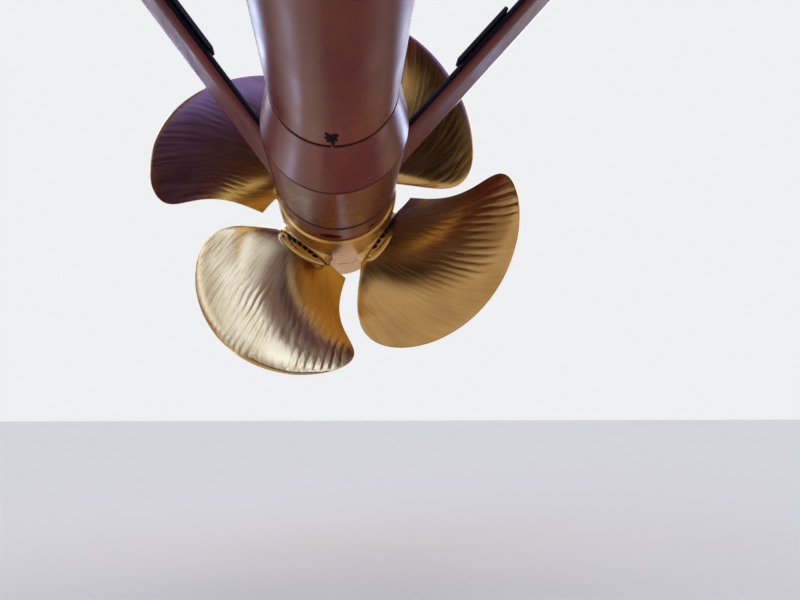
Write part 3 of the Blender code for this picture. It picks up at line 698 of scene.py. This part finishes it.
def finish_mesh(bm, name, material, smooth_angle=40.0):
    """Turn a bmesh into a shaded object."""
    bmesh.ops.recalc_face_normals(bm, faces=bm.faces)
    if bm.calc_volume(signed=True) < 0.0:
        bmesh.ops.reverse_faces(bm, faces=bm.faces)
    mesh = bpy.data.meshes.new(name)
    bm.to_mesh(mesh)
    bm.free()
    mesh.materials.append(material)
    smooth_to(mesh, smooth_angle)
    item = bpy.data.objects.new(name, mesh)
    bpy.context.scene.collection.objects.link(item)
    return item


def grid_faces(bm, rings):
    """Faces between rings of vertices, where a ring may be one vertex."""
    for low, high in zip(rings, rings[1:]):
        for step in range(max(len(low), len(high))):
            near, far = ((ring[step % len(ring)], ring[(step + 1) % len(ring)]) for ring in (low, high))
            bm.faces.new(list(dict.fromkeys((*near, *reversed(far)))))


def closed_skin(bm, rings):
    """Faces between rings of vertices, and over the last and the first ring."""
    grid_faces(bm, rings)
    bm.faces.new(rings[-1])
    bm.faces.new(rings[0])


def blade_loft(number, material):
    """The blade from its fillet to the tip."""
    bm = bmesh.new()
    alongs = [
        step / CHORD_STEPS - CHORD_CROWDING * math.sin(math.tau * step / CHORD_STEPS) / math.tau
        for step in range(CHORD_STEPS + 1)]
    steps = [FILLET_SHARE * step / FILLET_ROWS for step in range(FILLET_ROWS)]
    for step in range(SPAN_ROWS + 1):
        rest = 1.0 - step / SPAN_ROWS
        steps.append(FILLET_SHARE + (LAST_ROW - FILLET_SHARE) * (1.0 - rest ** SPAN_CROWDING))
    outline = [(along, 1.0) for along in alongs] + [(along, -1.0) for along in reversed(alongs[1:])]
    rows = [
        [bm.verts.new(blade_point(step, along, face, number)) for along, face in outline] for step in steps]
    closed_skin(bm, rows)
    bmesh.ops.triangulate(bm, faces=[face for face in bm.faces if len(face.verts) > 4])
    bm.transform(blade_frame(number))
    return finish_mesh(bm, f"blade_{number + 1}_casting", material, 60.0)


def ring_points(bm, radius, height):
    """A ring of vertices round Z."""
    return [bm.verts.new((x, y, height)) for x, y in circle(radius)]


def palm_bolt_places():
    """Centres of the palm bolts, on both sides of the root section."""
    places = []
    for side in (1.0, -1.0):
        for number in range(BOLT_COUNT):
            turn = ROOT_SLOPE + math.radians((number - (BOLT_COUNT - 1) / 2.0) * BOLT_STEP)
            places.append((side * BOLT_RING * math.sin(turn), side * BOLT_RING * math.cos(turn)))
    return places


def dome_height(reach):
    """Height of the domed top of a palm at a distance from its spindle."""
    rise = PALM_CROWN - PALM_RIM
    curve = (PALM_RADIUS ** 2 + rise ** 2) / (2.0 * rise)
    return PALM_CROWN - curve + math.sqrt(max(0.0, curve ** 2 - reach ** 2))


def palm_disc(number, material, pocket_shade):
    """Round domed palm with a pocket for each bolt, and painted shade in the pockets and in its ring
    groove.
    """
    bm = bmesh.new()
    outer, inner, depth = PALM_GROOVE
    rings = [
        ring_points(bm, PALM_RADIUS, SEAT_HEIGHT + FIT),
        ring_points(bm, PALM_RADIUS, PALM_RIM - PALM_EDGE),
        ring_points(bm, PALM_RADIUS - PALM_EDGE_INSET, PALM_RIM - PALM_EDGE_INSET),
        ring_points(bm, PALM_RADIUS - PALM_EDGE, dome_height(PALM_RADIUS - PALM_EDGE)),
        ring_points(bm, outer, dome_height(outer)),
        ring_points(bm, outer, dome_height(outer) - depth),
        ring_points(bm, inner, dome_height(inner) - depth),
    ]
    for step in range(PALM_DOME_STEPS):
        reach = inner * (1.0 - step / PALM_DOME_STEPS)
        rings.append(ring_points(bm, reach, dome_height(reach)))
    closed_skin(bm, rings)
    palm = finish_mesh(bm, f"blade_{number + 1}_palm", material, 50.0)
    pockets = bmesh.new()
    for x, y in palm_bolt_places():
        bmesh.ops.create_cone(
            pockets, cap_ends=True, segments=BOLT_SIDES, radius1=POCKET_RADIUS, radius2=POCKET_RADIUS,
            depth=2.0 * BOLT_DEPTH, matrix=Matrix.Translation((x, y, dome_height(BOLT_RING))))
    cut_away(palm, [finish_mesh(pockets, "pocket_cutter", material)])
    mesh = palm.data
    mesh.materials.append(pocket_shade)
    for face in mesh.polygons:
        across, out, height = face.center
        reach = math.hypot(across, out)
        pocket = any(
            math.hypot(across - x, out - y) < POCKET_RADIUS * 1.01 for x, y in palm_bolt_places())
        sunk = inner * 0.999 < reach < outer * 1.001 and height < dome_height(reach) - 0.001
        # faces in the bolt pockets and in the ring groove get the near-black painted shade
        if reach < PALM_RADIUS * 0.97 and height > SEAT_HEIGHT + 0.01 and (pocket or sunk):
            face.material_index = 1
    mesh.transform(blade_frame(number))
    smooth_to(mesh, 40.0)
    return palm


def palm_bolts(number, material):
    """Socket screws of a palm, each in its pocket."""
    bm = bmesh.new()
    foot = dome_height(BOLT_RING) - BOLT_DEPTH
    for x, y in palm_bolt_places():
        rings = []
        for radius, height in BOLT_PROFILE:
            corners = circle(radius, BOLT_SIDES)
            rings.append([bm.verts.new((x + across, y + out, foot + height)) for across, out in corners])
        closed_skin(bm, rings)
    bm.transform(blade_frame(number))
    return finish_mesh(bm, f"blade_{number + 1}_bolts", material, 30.0)


def groove(place, radius, size, aft=True):
    """Half of a groove between two turned pieces: points from the joint outwards, or the other way."""
    width, depth = size
    side = 1.0 if aft else -1.0
    points = [(place, radius - depth), (place + side * width / 2.0, radius - depth),
              (place + side * width / 2.0, radius - SEAM), (place + side * (width / 2.0 + SEAM), radius)]
    return points if aft else points[::-1]


def turned(name, outer, inner, material):
    """A turned piece round the shaft axis. Both profiles are (y, radius) pairs from forward to aft."""
    bm = bmesh.new()
    rings = []
    for place, radius in list(outer) + list(reversed(inner)):
        corners = circle(radius) if radius else [(0.0, 0.0)]
        rings.append([bm.verts.new((x, place, z)) for x, z in corners])
    grid_faces(bm, rings + rings[:1] if inner else rings)
    bm.transform(Matrix.Translation(AXIS))
    return finish_mesh(bm, name, material, 30.0)


def cut_away(item, cutters):
    """Cut several pieces out of one, and keep the result."""
    for cutter in cutters:
        boolean = item.modifiers.new("Cut", "BOOLEAN")
        boolean.operation = "DIFFERENCE"
        boolean.solver = "EXACT"
        boolean.object = cutter
    depsgraph = bpy.context.evaluated_depsgraph_get()
    mesh = bpy.data.meshes.new_from_object(item.evaluated_get(depsgraph))
    item.modifiers.clear()
    item.data = mesh
    for cutter in cutters:
        bpy.data.objects.remove(cutter)
    smooth_to(mesh, 30.0)
    return item


def tool_prism(outline, low, high, frame):
    """Closed prism over an outline in X and Y, used as a cutter."""
    bm = bmesh.new()
    base = bm.faces.new([bm.verts.new((x, y, low)) for x, y in outline])
    grown = bmesh.ops.extrude_face_region(bm, geom=[base])
    moved = [part for part in grown["geom"] if isinstance(part, bmesh.types.BMVert)]
    bmesh.ops.translate(bm, verts=moved, vec=(0.0, 0.0, high - low))
    bm.transform(frame)
    return finish_mesh(bm, "tool", bpy.data.materials[0])


def build_line(paint, sealant_and_shade):
    """Tube, cone and barrel as smooth turned plate, the strips in their joints, and the rope guard."""
    step, floor = -TUBE_GROOVE[0], TUBE_RADIUS - TUBE_GROOVE[1]
    aft = BARREL_FRONT - FIT
    tube = turned(
        "shaft_tube_plate",
        [(TUBE_FRONT, TUBE_RADIUS), (step - SEAM, TUBE_RADIUS), (step, TUBE_RADIUS - SEAM), (step, floor),
         (-JOINT, floor), (-JOINT, SLEEVE_RADIUS), (aft, SLEEVE_RADIUS)],
        [(TUBE_FRONT, TUBE_BORE), (-JOINT, TUBE_BORE), (-JOINT + SLEEVE_RUN, SLEEVE_BORE),
         (aft, SLEEVE_BORE)], paint)
    cone = turned(
        "fairing_cone_plate",
        [(JOINT, CONE_FRONT_RADIUS - SEAM), (JOINT + SEAM, CONE_FRONT_RADIUS),
         *groove(aft, BARREL_RADIUS, CONE_GROOVE, aft=False)],
        [(JOINT, SLEEVE_RADIUS + FIT), (JOINT + CONE_SEAT, SLEEVE_RADIUS + FIT),
         (aft, BARREL_RADIUS - CONE_WALL)], paint)
    barrel = turned(
        "bracket_barrel_plate",
        [*groove(BARREL_FRONT, BARREL_RADIUS, CONE_GROOVE),
         *groove(BARREL_AFT, BARREL_RADIUS, GUARD_GROOVE, aft=False)],
        [(BARREL_FRONT, BARREL_BORE), (BARREL_AFT, BARREL_BORE)], paint)
    for item, name in ((tube, "shaft_tube"), (cone, "fairing_cone"), (barrel, "bracket_barrel")):
        place_piece(item, "bracket", "antifouling_paint", name)
    # near-black strips fill the joint grooves, part sealant and part painted shade of the grooves
    strips = (
        ("tube_joint_strip", (JOINT - TUBE_GROOVE[0]) / 2.0, TUBE_GROOVE[0] + JOINT, floor, TUBE_RADIUS),
        ("cone_joint_strip", BARREL_FRONT, CONE_GROOVE[0], BARREL_RADIUS - CONE_GROOVE[1], BARREL_RADIUS),
        ("guard_joint_strip", BARREL_AFT, GUARD_GROOVE[0], BARREL_RADIUS - GUARD_GROOVE[1], BARREL_RADIUS))
    for (name, place, width, bottom, radius), sunk in zip(strips, STRIP_SUNK):
        half = (width - STRIP_EDGE) / 2.0
        low, high, inner, outer = place - half, place + half, bottom + FIT, radius - sunk
        strip = turned(
            name, [(low, outer - STRIP_EDGE), (low + STRIP_EDGE, outer), (high - STRIP_EDGE, outer),
                   (high, outer - STRIP_EDGE)], [(low, inner), (high, inner)], sealant_and_shade)
        place_piece(strip, "bracket", "antifouling_paint")
    build_guard(paint)


def build_guard(paint):
    """Both halves of the rope guard, each with its openings."""
    middle = FIRST_HOLE_ANGLE + HOLE_STEP * (HOLE_COUNT - 1) / 2.0
    front = BARREL_AFT + FIT
    for name, side in (("rope_guard_port_half", 1.0), ("rope_guard_starboard_half", -1.0)):
        half = turned(
            f"{name}_plate",
            [*groove(front, BARREL_RADIUS, GUARD_GROOVE), (GUARD_AFT - GUARD_EDGE, GUARD_AFT_RADIUS),
             (GUARD_AFT, GUARD_AFT_RADIUS - GUARD_EDGE)],
            [(front, BARREL_RADIUS - GUARD_WALL), (GUARD_AFT, GUARD_AFT_RADIUS - GUARD_WALL)], paint)
        other_side = [(0.0, -1.0), (side, -1.0), (side, 1.0), (0.0, 1.0)]
        cutters = [tool_prism(other_side, -1.0, 1.0, radial_frame(middle, GUARD_AFT))]
        for number in range(HOLE_COUNT):
            angle = FIRST_HOLE_ANGLE + HOLE_STEP * number
            if (angle > middle) == (side > 0.0):
                size = WIDE_HOLE_SIZE if number == WIDE_HOLE else HOLE_SIZE
                cutters.append(tool_prism(
                    oval(*size, HOLE_SIDES), *HOLE_TOOL, radial_frame(angle, HOLE_PLACE)))
        place_piece(cut_away(half, cutters), "bracket", "antifouling_paint", name)


def scorch_point(share, turn):
    """Point of the scorched spot round the shaft axis, by its share of the way out and its turn."""
    angle, place, half_width, half_length = SCORCH
    often, ragged = SCORCH_RAGGED
    rough = noise.noise(Vector((math.cos(turn) * often, math.sin(turn) * often, 5.0)))
    reach = share * (1.0 + ragged * rough)
    across = half_width * reach * math.cos(turn)
    often, along, size = SCORCH_LUMPS
    lump = 0.6 + size * noise.noise(Vector((across * often, reach * math.sin(turn) * along, 9.0)))
    out = TUBE_RADIUS + SCORCH_HEIGHT * (1.0 - share ** 2) * lump - 0.001
    around = math.radians(angle) + across / TUBE_RADIUS
    aft = place + half_length * reach * math.sin(turn)
    return Vector((out * math.cos(around), aft, out * math.sin(around)))


def build_scorch(dark_coat_and_shade, paint):
    """Burnt lumpy spot on the underside of the tube, and the small strap that bridges the joint."""
    bm = bmesh.new()
    turns = [math.tau * step / SCORCH_SIDES for step in range(SCORCH_SIDES)]
    rings = [
        [bm.verts.new(scorch_point(ring / SCORCH_RINGS, turn)) for turn in turns]
        for ring in range(1, SCORCH_RINGS + 1)]
    low = []
    for vert in rings[-1]:
        outwards = Vector((vert.co.x, 0.0, vert.co.z)).normalized()
        low.append(bm.verts.new(vert.co - outwards * SCORCH_RIM))
    closed_skin(bm, rings + [low])
    bm.transform(Matrix.Translation(AXIS))
    place_piece(finish_mesh(bm, "tube_scorch", dark_coat_and_shade, 60.0), "bracket", "antifouling_paint")
    angle, place, half_width, half_length = STRAP
    size = (2.0 * half_width, 2.0 * half_length, STRAP_THICKNESS, 1.0)
    bm = bmesh.new()
    bmesh.ops.create_cube(bm, size=1.0, matrix=Matrix.Diagonal(size))
    bmesh.ops.bevel(bm, geom=bm.edges[:], offset=STRAP_EDGE, segments=3, affect="EDGES")
    bm.transform(radial_frame(angle, place) @ Matrix.Translation((0.0, 0.0, TUBE_RADIUS + 0.001)))
    place_piece(finish_mesh(bm, "joint_strap", paint, 40.0), "bracket", "antifouling_paint")


def build_hub(bronze_turned):
    """Hub body with its flats, seats and lifting pockets, its cap and the cover on the cap."""
    hub = turned(
        "hub_body_casting",
        [(HUB_FRONT, 0.0), *((HUB_FRONT + step, radius) for step, radius in HUB_NOSE),
         (HUB_STEP_PLACE, HUB_RADIUS), (HUB_STEP_PLACE + HUB_STEP, HUB_WAIST),
         (HUB_AFT - HUB_EDGE, HUB_WAIST), (HUB_AFT, HUB_WAIST - HUB_EDGE), (HUB_AFT, 0.0)], [],
        bronze_turned)
    cutters = []
    for number in range(BLADE_COUNT):
        angle = blade_angle(number)
        for radius, height in ((FLAT_RADIUS, FLAT_HEIGHT), (SEAT_RADIUS, SEAT_HEIGHT)):
            cutters.append(tool_prism(
                circle(radius, SEAT_SIDES), height, HUB_TOOL_TOP, radial_frame(angle, SPINDLE_PLACE)))
        for place in (-1.0, 0.0, 1.0):
            turn = angle + LIFTING_MIDDLE + LIFTING_STEP * place
            cutters.append(tool_prism(
                rectangle(*LIFTING_SIZE[:2]), HUB_WAIST - LIFTING_SIZE[2] / 2.0, HUB_TOOL_TOP,
                radial_frame(turn, LIFTING_PLACE)))
    place_piece(cut_away(hub, cutters), "rotor", "propeller_bronze", "hub_body")
    front = HUB_AFT + FIT
    end = [(front, 0.0), (front, CAP_RADIUS - CAP_EDGE), (front + CAP_EDGE, CAP_RADIUS)]
    for step in range(CAP_STEPS + 1):
        turn = math.pi / 2.0 * step / CAP_STEPS
        end.append((
            CAP_AFT - CAP_ROUNDING * (1.0 - math.sin(turn)),
            CAP_END_RADIUS + (CAP_RADIUS - CAP_END_RADIUS) * math.cos(turn)))
    end.append((CAP_AFT, 0.0))
    place_piece(turned("hub_cap_casting", end, [], bronze_turned), "rotor", "propeller_bronze", "hub_cap")
    face = CAP_AFT + FIT
    edge = [(face + step, COVER_RADIUS - inset) for step, inset in COVER_EDGE]
    cover = turned(
        "cap_cover_plate", [(face, 0.0), (face, COVER_RADIUS), *edge, (edge[-1][0], 0.0)], [],
        bronze_turned)
    place_piece(cover, "rotor", "propeller_bronze", "cap_cover")


def arm_outline():
    """Rounded nose, straight flanks and a tapered tail, in thickness and chord."""
    half, tail = ARM_THICKNESS / 2.0, ARM_TAIL / 2.0
    aft = ARM_FRONT + ARM_CHORD
    points = []
    for step in range(NOSE_STEPS + 1):
        turn = math.pi * step / NOSE_STEPS
        points.append((half * math.cos(turn), ARM_FRONT + ARM_NOSE * (1.0 - math.sin(turn))))
    middle = (half + (tail - half) * TAIL_EDGE, aft - ARM_TAPER * (1.0 - TAIL_EDGE))
    points += [(-half, aft - ARM_TAPER), (-middle[0], middle[1]), (-tail, aft - tail)]
    for step in range(TAIL_STEPS + 1):
        turn = math.pi * step / TAIL_STEPS
        points.append((-tail * math.cos(turn), aft - tail * (1.0 - math.sin(turn))))
    points += [(tail, aft - tail), middle, (half, aft - ARM_TAPER)]
    clean = [points[0]]
    for point in points[1:]:
        if math.dist(point, clean[-1]) > 1e-5:
            clean.append(point)
    return [(x, y - ARM_MIDDLE) for x, y in clean]


def arm_frame(side, angle, offset, twist):
    """Matrix of an arm's own frame: Z up along the arm, X its thickness, Y its chord."""
    lean = math.radians(90.0 - angle)
    turn = Euler((0.0, side * lean, -side * math.radians(twist)), "ZYX").to_matrix().to_4x4()
    foot = Vector((side * offset * math.cos(lean), ARM_MIDDLE, -offset * math.sin(lean)))
    return Matrix.Translation(foot) @ turn


def meets_barrel(start, along, radius):
    """Distance along a line at which it leaves the barrel's surface."""
    a = along.x ** 2 + along.z ** 2
    b = 2.0 * (start.x * along.x + start.z * along.z)
    c = start.x ** 2 + start.z ** 2 - radius ** 2
    return (-b + math.sqrt(b * b - 4.0 * a * c)) / (2.0 * a)


def shade_nose_gloss_tail(arm, frame, side, dark_coat_and_shade, gloss):
    """Paint a near-black shade on the upper side of an arm's nose, and give the tail edge its smoother
    paint.
    """
    arm.data.materials.append(dark_coat_and_shade)
    arm.data.materials.append(gloss)
    inverse = (Matrix.Translation(AXIS) @ frame).inverted()
    edge = ARM_FRONT + ARM_CHORD - ARM_TAPER * (1.0 - TAIL_EDGE) - ARM_MIDDLE
    back = frame.to_3x3().inverted()
    low, high = NOSE_SHADE
    for face in arm.data.polygons:
        normal = back @ face.normal
        turn = math.degrees(math.atan2(-side * normal.x, -normal.y))
        # faces round the upper side of the nose get the near-black painted shade
        if abs(normal.z) < 0.5 and low < turn < high:
            face.material_index = 1
        elif (inverse @ face.center).y > edge:
            face.material_index = 2


def build_arms(paint, dark_coat_and_shade, gloss):
    """Both arms, with painted shade along the upper side of their nose, and their weld to the barrel."""
    top = MOUNT_HEIGHT - ARM_PALM_THICKNESS - FIT
    for name, (side, angle, offset, twist) in ARMS.items():
        frame = arm_frame(side, angle, offset, twist)
        along = (frame.to_3x3() @ Vector((0.0, 0.0, 1.0))).normalized()
        starts = [frame @ Vector((x, y, 0.0)) for x, y in arm_outline()]
        low = [start + along * meets_barrel(start, along, BARREL_RADIUS + FIT) for start in starts]
        high = [start + along * ((top - start.z) / along.z) for start in starts]
        bm = bmesh.new()
        rows = [
            [bm.verts.new(AXIS + first.lerp(last, step / ARM_ROWS)) for first, last in zip(low, high)]
            for step in range(ARM_ROWS + 1)]
        closed_skin(bm, rows)
        arm = finish_mesh(bm, f"{name}_plate", paint, 5.0)
        shade_nose_gloss_tail(arm, frame, side, dark_coat_and_shade, gloss)
        place_piece(arm, "bracket", "antifouling_paint", name)
        place_piece(weld_bead(f"{name}_weld", low, paint), "bracket", "antifouling_paint")


def weld_bead(name, path, paint):
    """Convex bead along a closed path round an arm's foot, on the barrel."""
    bm = bmesh.new()
    centre = sum(path, Vector()) / len(path)
    fine = []
    for first, second in zip(path, path[1:] + path[:1]):
        count = max(1, round((second - first).length / WELD_STEP))
        fine += [first.lerp(second, step / count) for step in range(count)]
    rings = []
    for number, point in enumerate(fine):
        ahead = (fine[(number + 1) % len(fine)] - fine[number - 1]).normalized()
        up = Vector((point.x, 0.0, point.z)).normalized()
        out = ahead.cross(up).normalized()
        if out.dot(point - centre) < 0.0:
            out = -out
        lump = 1.0 + WELD_LUMPS[1] * noise.noise(point * WELD_LUMPS[0])
        lump += WELD_RIPPLES[1] * math.sin(number * WELD_RIPPLES[0])
        ring = []
        for step in range(WELD_SIDES + 1):
            turn = math.pi / 2.0 * step / WELD_SIDES
            reach = WELD_RADIUS * lump * (1.0 - WELD_FULLNESS + WELD_FULLNESS * math.sin(2.0 * turn))
            foot = AXIS + point + out * reach * math.cos(turn)
            ring.append(bm.verts.new(foot + up * reach * math.sin(turn)))
        ring.append(bm.verts.new(AXIS + point - out * WELD_SINK - up * WELD_SINK))
        rings.append(ring)
    grid_faces(bm, rings + rings[:1])
    return finish_mesh(bm, name, paint, 60.0)


def place_piece(item, body, slot, *stands_for):
    """Fix a finished piece to its body and hide the solids that it stands for. Its slot is not used."""
    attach(item, body)
    if stands_for:
        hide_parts(*stands_for)
    return item


def build_blades(bronze_ground, bolt_steel, pocket_shade):
    """Blades with fine surfaces, each with its palm and the palm's bolts."""
    for number, body in enumerate(("blade_one", "blade_two", "blade_three", "blade_four")):
        casting = blade_loft(number, bronze_ground)
        palm = palm_disc(number, bronze_ground, pocket_shade)
        bolts = palm_bolts(number, bolt_steel)
        place_piece(casting, body, "propeller_bronze", f"blade_{number + 1}")
        place_piece(palm, body, "propeller_bronze")
        place_piece(bolts, body, "shaft_steel")


def build_camera():
    """Camera at the photograph's place and angle."""
    data = bpy.data.cameras.new("camera")
    data.lens = CAMERA_LENS
    data.sensor_width = SENSOR
    data.sensor_fit = "HORIZONTAL"
    data.clip_end = 200.0
    item = bpy.data.objects.new("camera", data)
    bpy.context.scene.collection.objects.link(item)
    yaw = math.radians(CAMERA_YAW)
    pitch = math.radians(CAMERA_PITCH)
    forward = Vector((math.sin(yaw) * math.cos(pitch), math.cos(yaw) * math.cos(pitch), math.sin(pitch)))
    right = Vector((math.cos(yaw), -math.sin(yaw), 0.0))
    up = right.cross(forward)
    roll = math.radians(CAMERA_ROLL)
    x_axis = right * math.cos(roll) - up * math.sin(roll)
    y_axis = right * math.sin(roll) + up * math.cos(roll)
    turn = Matrix((x_axis, y_axis, -forward)).transposed()
    item.matrix_world = Matrix.Translation(AXIS + CAMERA_PLACE) @ turn.to_4x4()
    bpy.context.scene.camera = item


def half_range(tree, value):
    """Bring a value from between -1 and 1 to between 0 and 1."""
    return maths(tree, "MULTIPLY_ADD", value, 0.5, 0.5)


def build_world():
    """Soft surroundings: a cool sky, dark to the forward port side, over a dimmer warm band."""
    world = bpy.data.worlds.new("studio")
    bpy.context.scene.world = world
    tree = tree_of(world)
    ways = tree.nodes.new("ShaderNodeTexCoord").outputs["Generated"]
    split = tree.nodes.new("ShaderNodeSeparateXYZ")
    tree.links.new(ways, split.inputs["Vector"])
    across = half_range(tree, split.outputs["X"])
    along = half_range(tree, split.outputs["Y"])
    low = multiply(tree, ramp(tree, along, BAND_COLOURS), ramp(tree, across, BAND_SHARES))
    high = multiply(tree, SKY_COLOUR, ramp(tree, along, SKY_SHARES))
    high = multiply(tree, high, ramp(tree, along, SKY_TINTS))
    clouds = noise_at(tree, vector_maths(tree, "MULTIPLY", ways, CLOUD_STRETCH), *CLOUDS)
    high = multiply(tree, high, ramp(tree, clouds, CLOUD_COLOURS))
    port = vector_maths(tree, "DOT_PRODUCT", ways, FORWARD_PORT)
    high = multiply(tree, high, ramp(tree, half_range(tree, port), PORT_SHARES))
    above = ramp(tree, split.outputs["Z"], SKY_EDGE)
    colour = mix_colour(tree, above, low, high)
    path = tree.nodes.new("ShaderNodeLightPath")
    seen = mix_colour(tree, path.outputs["Is Camera Ray"], colour, BACKDROP_COLOUR)
    tree.links.new(seen, tree.nodes["Background"].inputs["Color"])
    tree.nodes["Background"].inputs["Strength"].default_value = 1.0


def stage_plane(name, corners, height, colour, glow=(), seen=False):
    """A level plane of the studio. One that isn't seen only shows in gloss."""
    material, tree, shader = new_material(name, 0.0, 0.0)
    set_inputs(shader, {"Base Color": (*colour, 1.0), "Roughness": 0.9})
    low, high = corners
    if seen:
        path = tree.nodes.new("ShaderNodeLightPath")
        shade = mix_colour(tree, path.outputs["Is Camera Ray"], colour, FLOOR_SEEN)
        tree.links.new(shade, shader.inputs["Base Color"])
    if glow:
        place = tree.nodes.new("ShaderNodeNewGeometry")
        split = tree.nodes.new("ShaderNodeSeparateXYZ")
        tree.links.new(place.outputs["Position"], split.inputs["Vector"])
        scaled = tree.nodes.new("ShaderNodeMapRange")
        set_inputs(scaled, {"From Min": low[1], "From Max": high[1]})
        tree.links.new(split.outputs["Y"], scaled.inputs["Value"])
        stops = [((y - low[1]) / (high[1] - low[1]), shade) for y, shade in glow]
        tree.links.new(ramp(tree, scaled.outputs["Result"], stops), shader.inputs["Emission Color"])
        shader.inputs["Emission Strength"].default_value = 1.0
    bpy.ops.mesh.primitive_plane_add(size=1.0)
    item = bpy.context.object
    item.name = name
    item.location = ((low[0] + high[0]) / 2.0, (low[1] + high[1]) / 2.0, height)
    item.scale = (high[0] - low[0], high[1] - low[1], 1.0)
    item.data.materials.append(material)
    for rays in ("visible_camera", "visible_diffuse", "visible_shadow", "visible_transmission"):
        setattr(item, rays, seen)


def build_stage():
    """Floor and cards of the studio."""
    stage_plane("floor", FLOOR_CORNERS, FLOOR_HEIGHT, FLOOR_COLOUR, seen=True)
    for name, values in CARDS.items():
        stage_plane(name, *values)


def dress_nodes(frame, finish):
    """Give each solid that stays its finish."""
    for name, item in frame["nodes"].items():
        material = next(finish[value] for key, value in DRESS if key in name)
        item.data.materials.clear()
        item.data.materials.append(material)


def main():
    """Dress the part."""
    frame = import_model()
    finish = {}
    for make, table in ((antifouling_paint, PAINTS), (bronze, BRONZES), (plain, OTHERS)):
        for name, values in table.items():
            finish[name] = make(name, *values)
    dress_nodes(frame, finish)
    sealant_and_shade, arm_paint = finish["dark_sealant"], finish["arm_paint"]
    build_line(finish["antifouling_paint"], sealant_and_shade)
    build_scorch(sealant_and_shade, arm_paint)
    build_arms(arm_paint, sealant_and_shade, finish["edge_paint"])
    build_hub(finish["turned_bronze"])
    build_blades(finish["ground_bronze"], finish["bolt_steel"], sealant_and_shade)
    build_camera()
    build_world()
    build_stage()
    bpy.context.scene.view_settings.view_transform = VIEW


main()
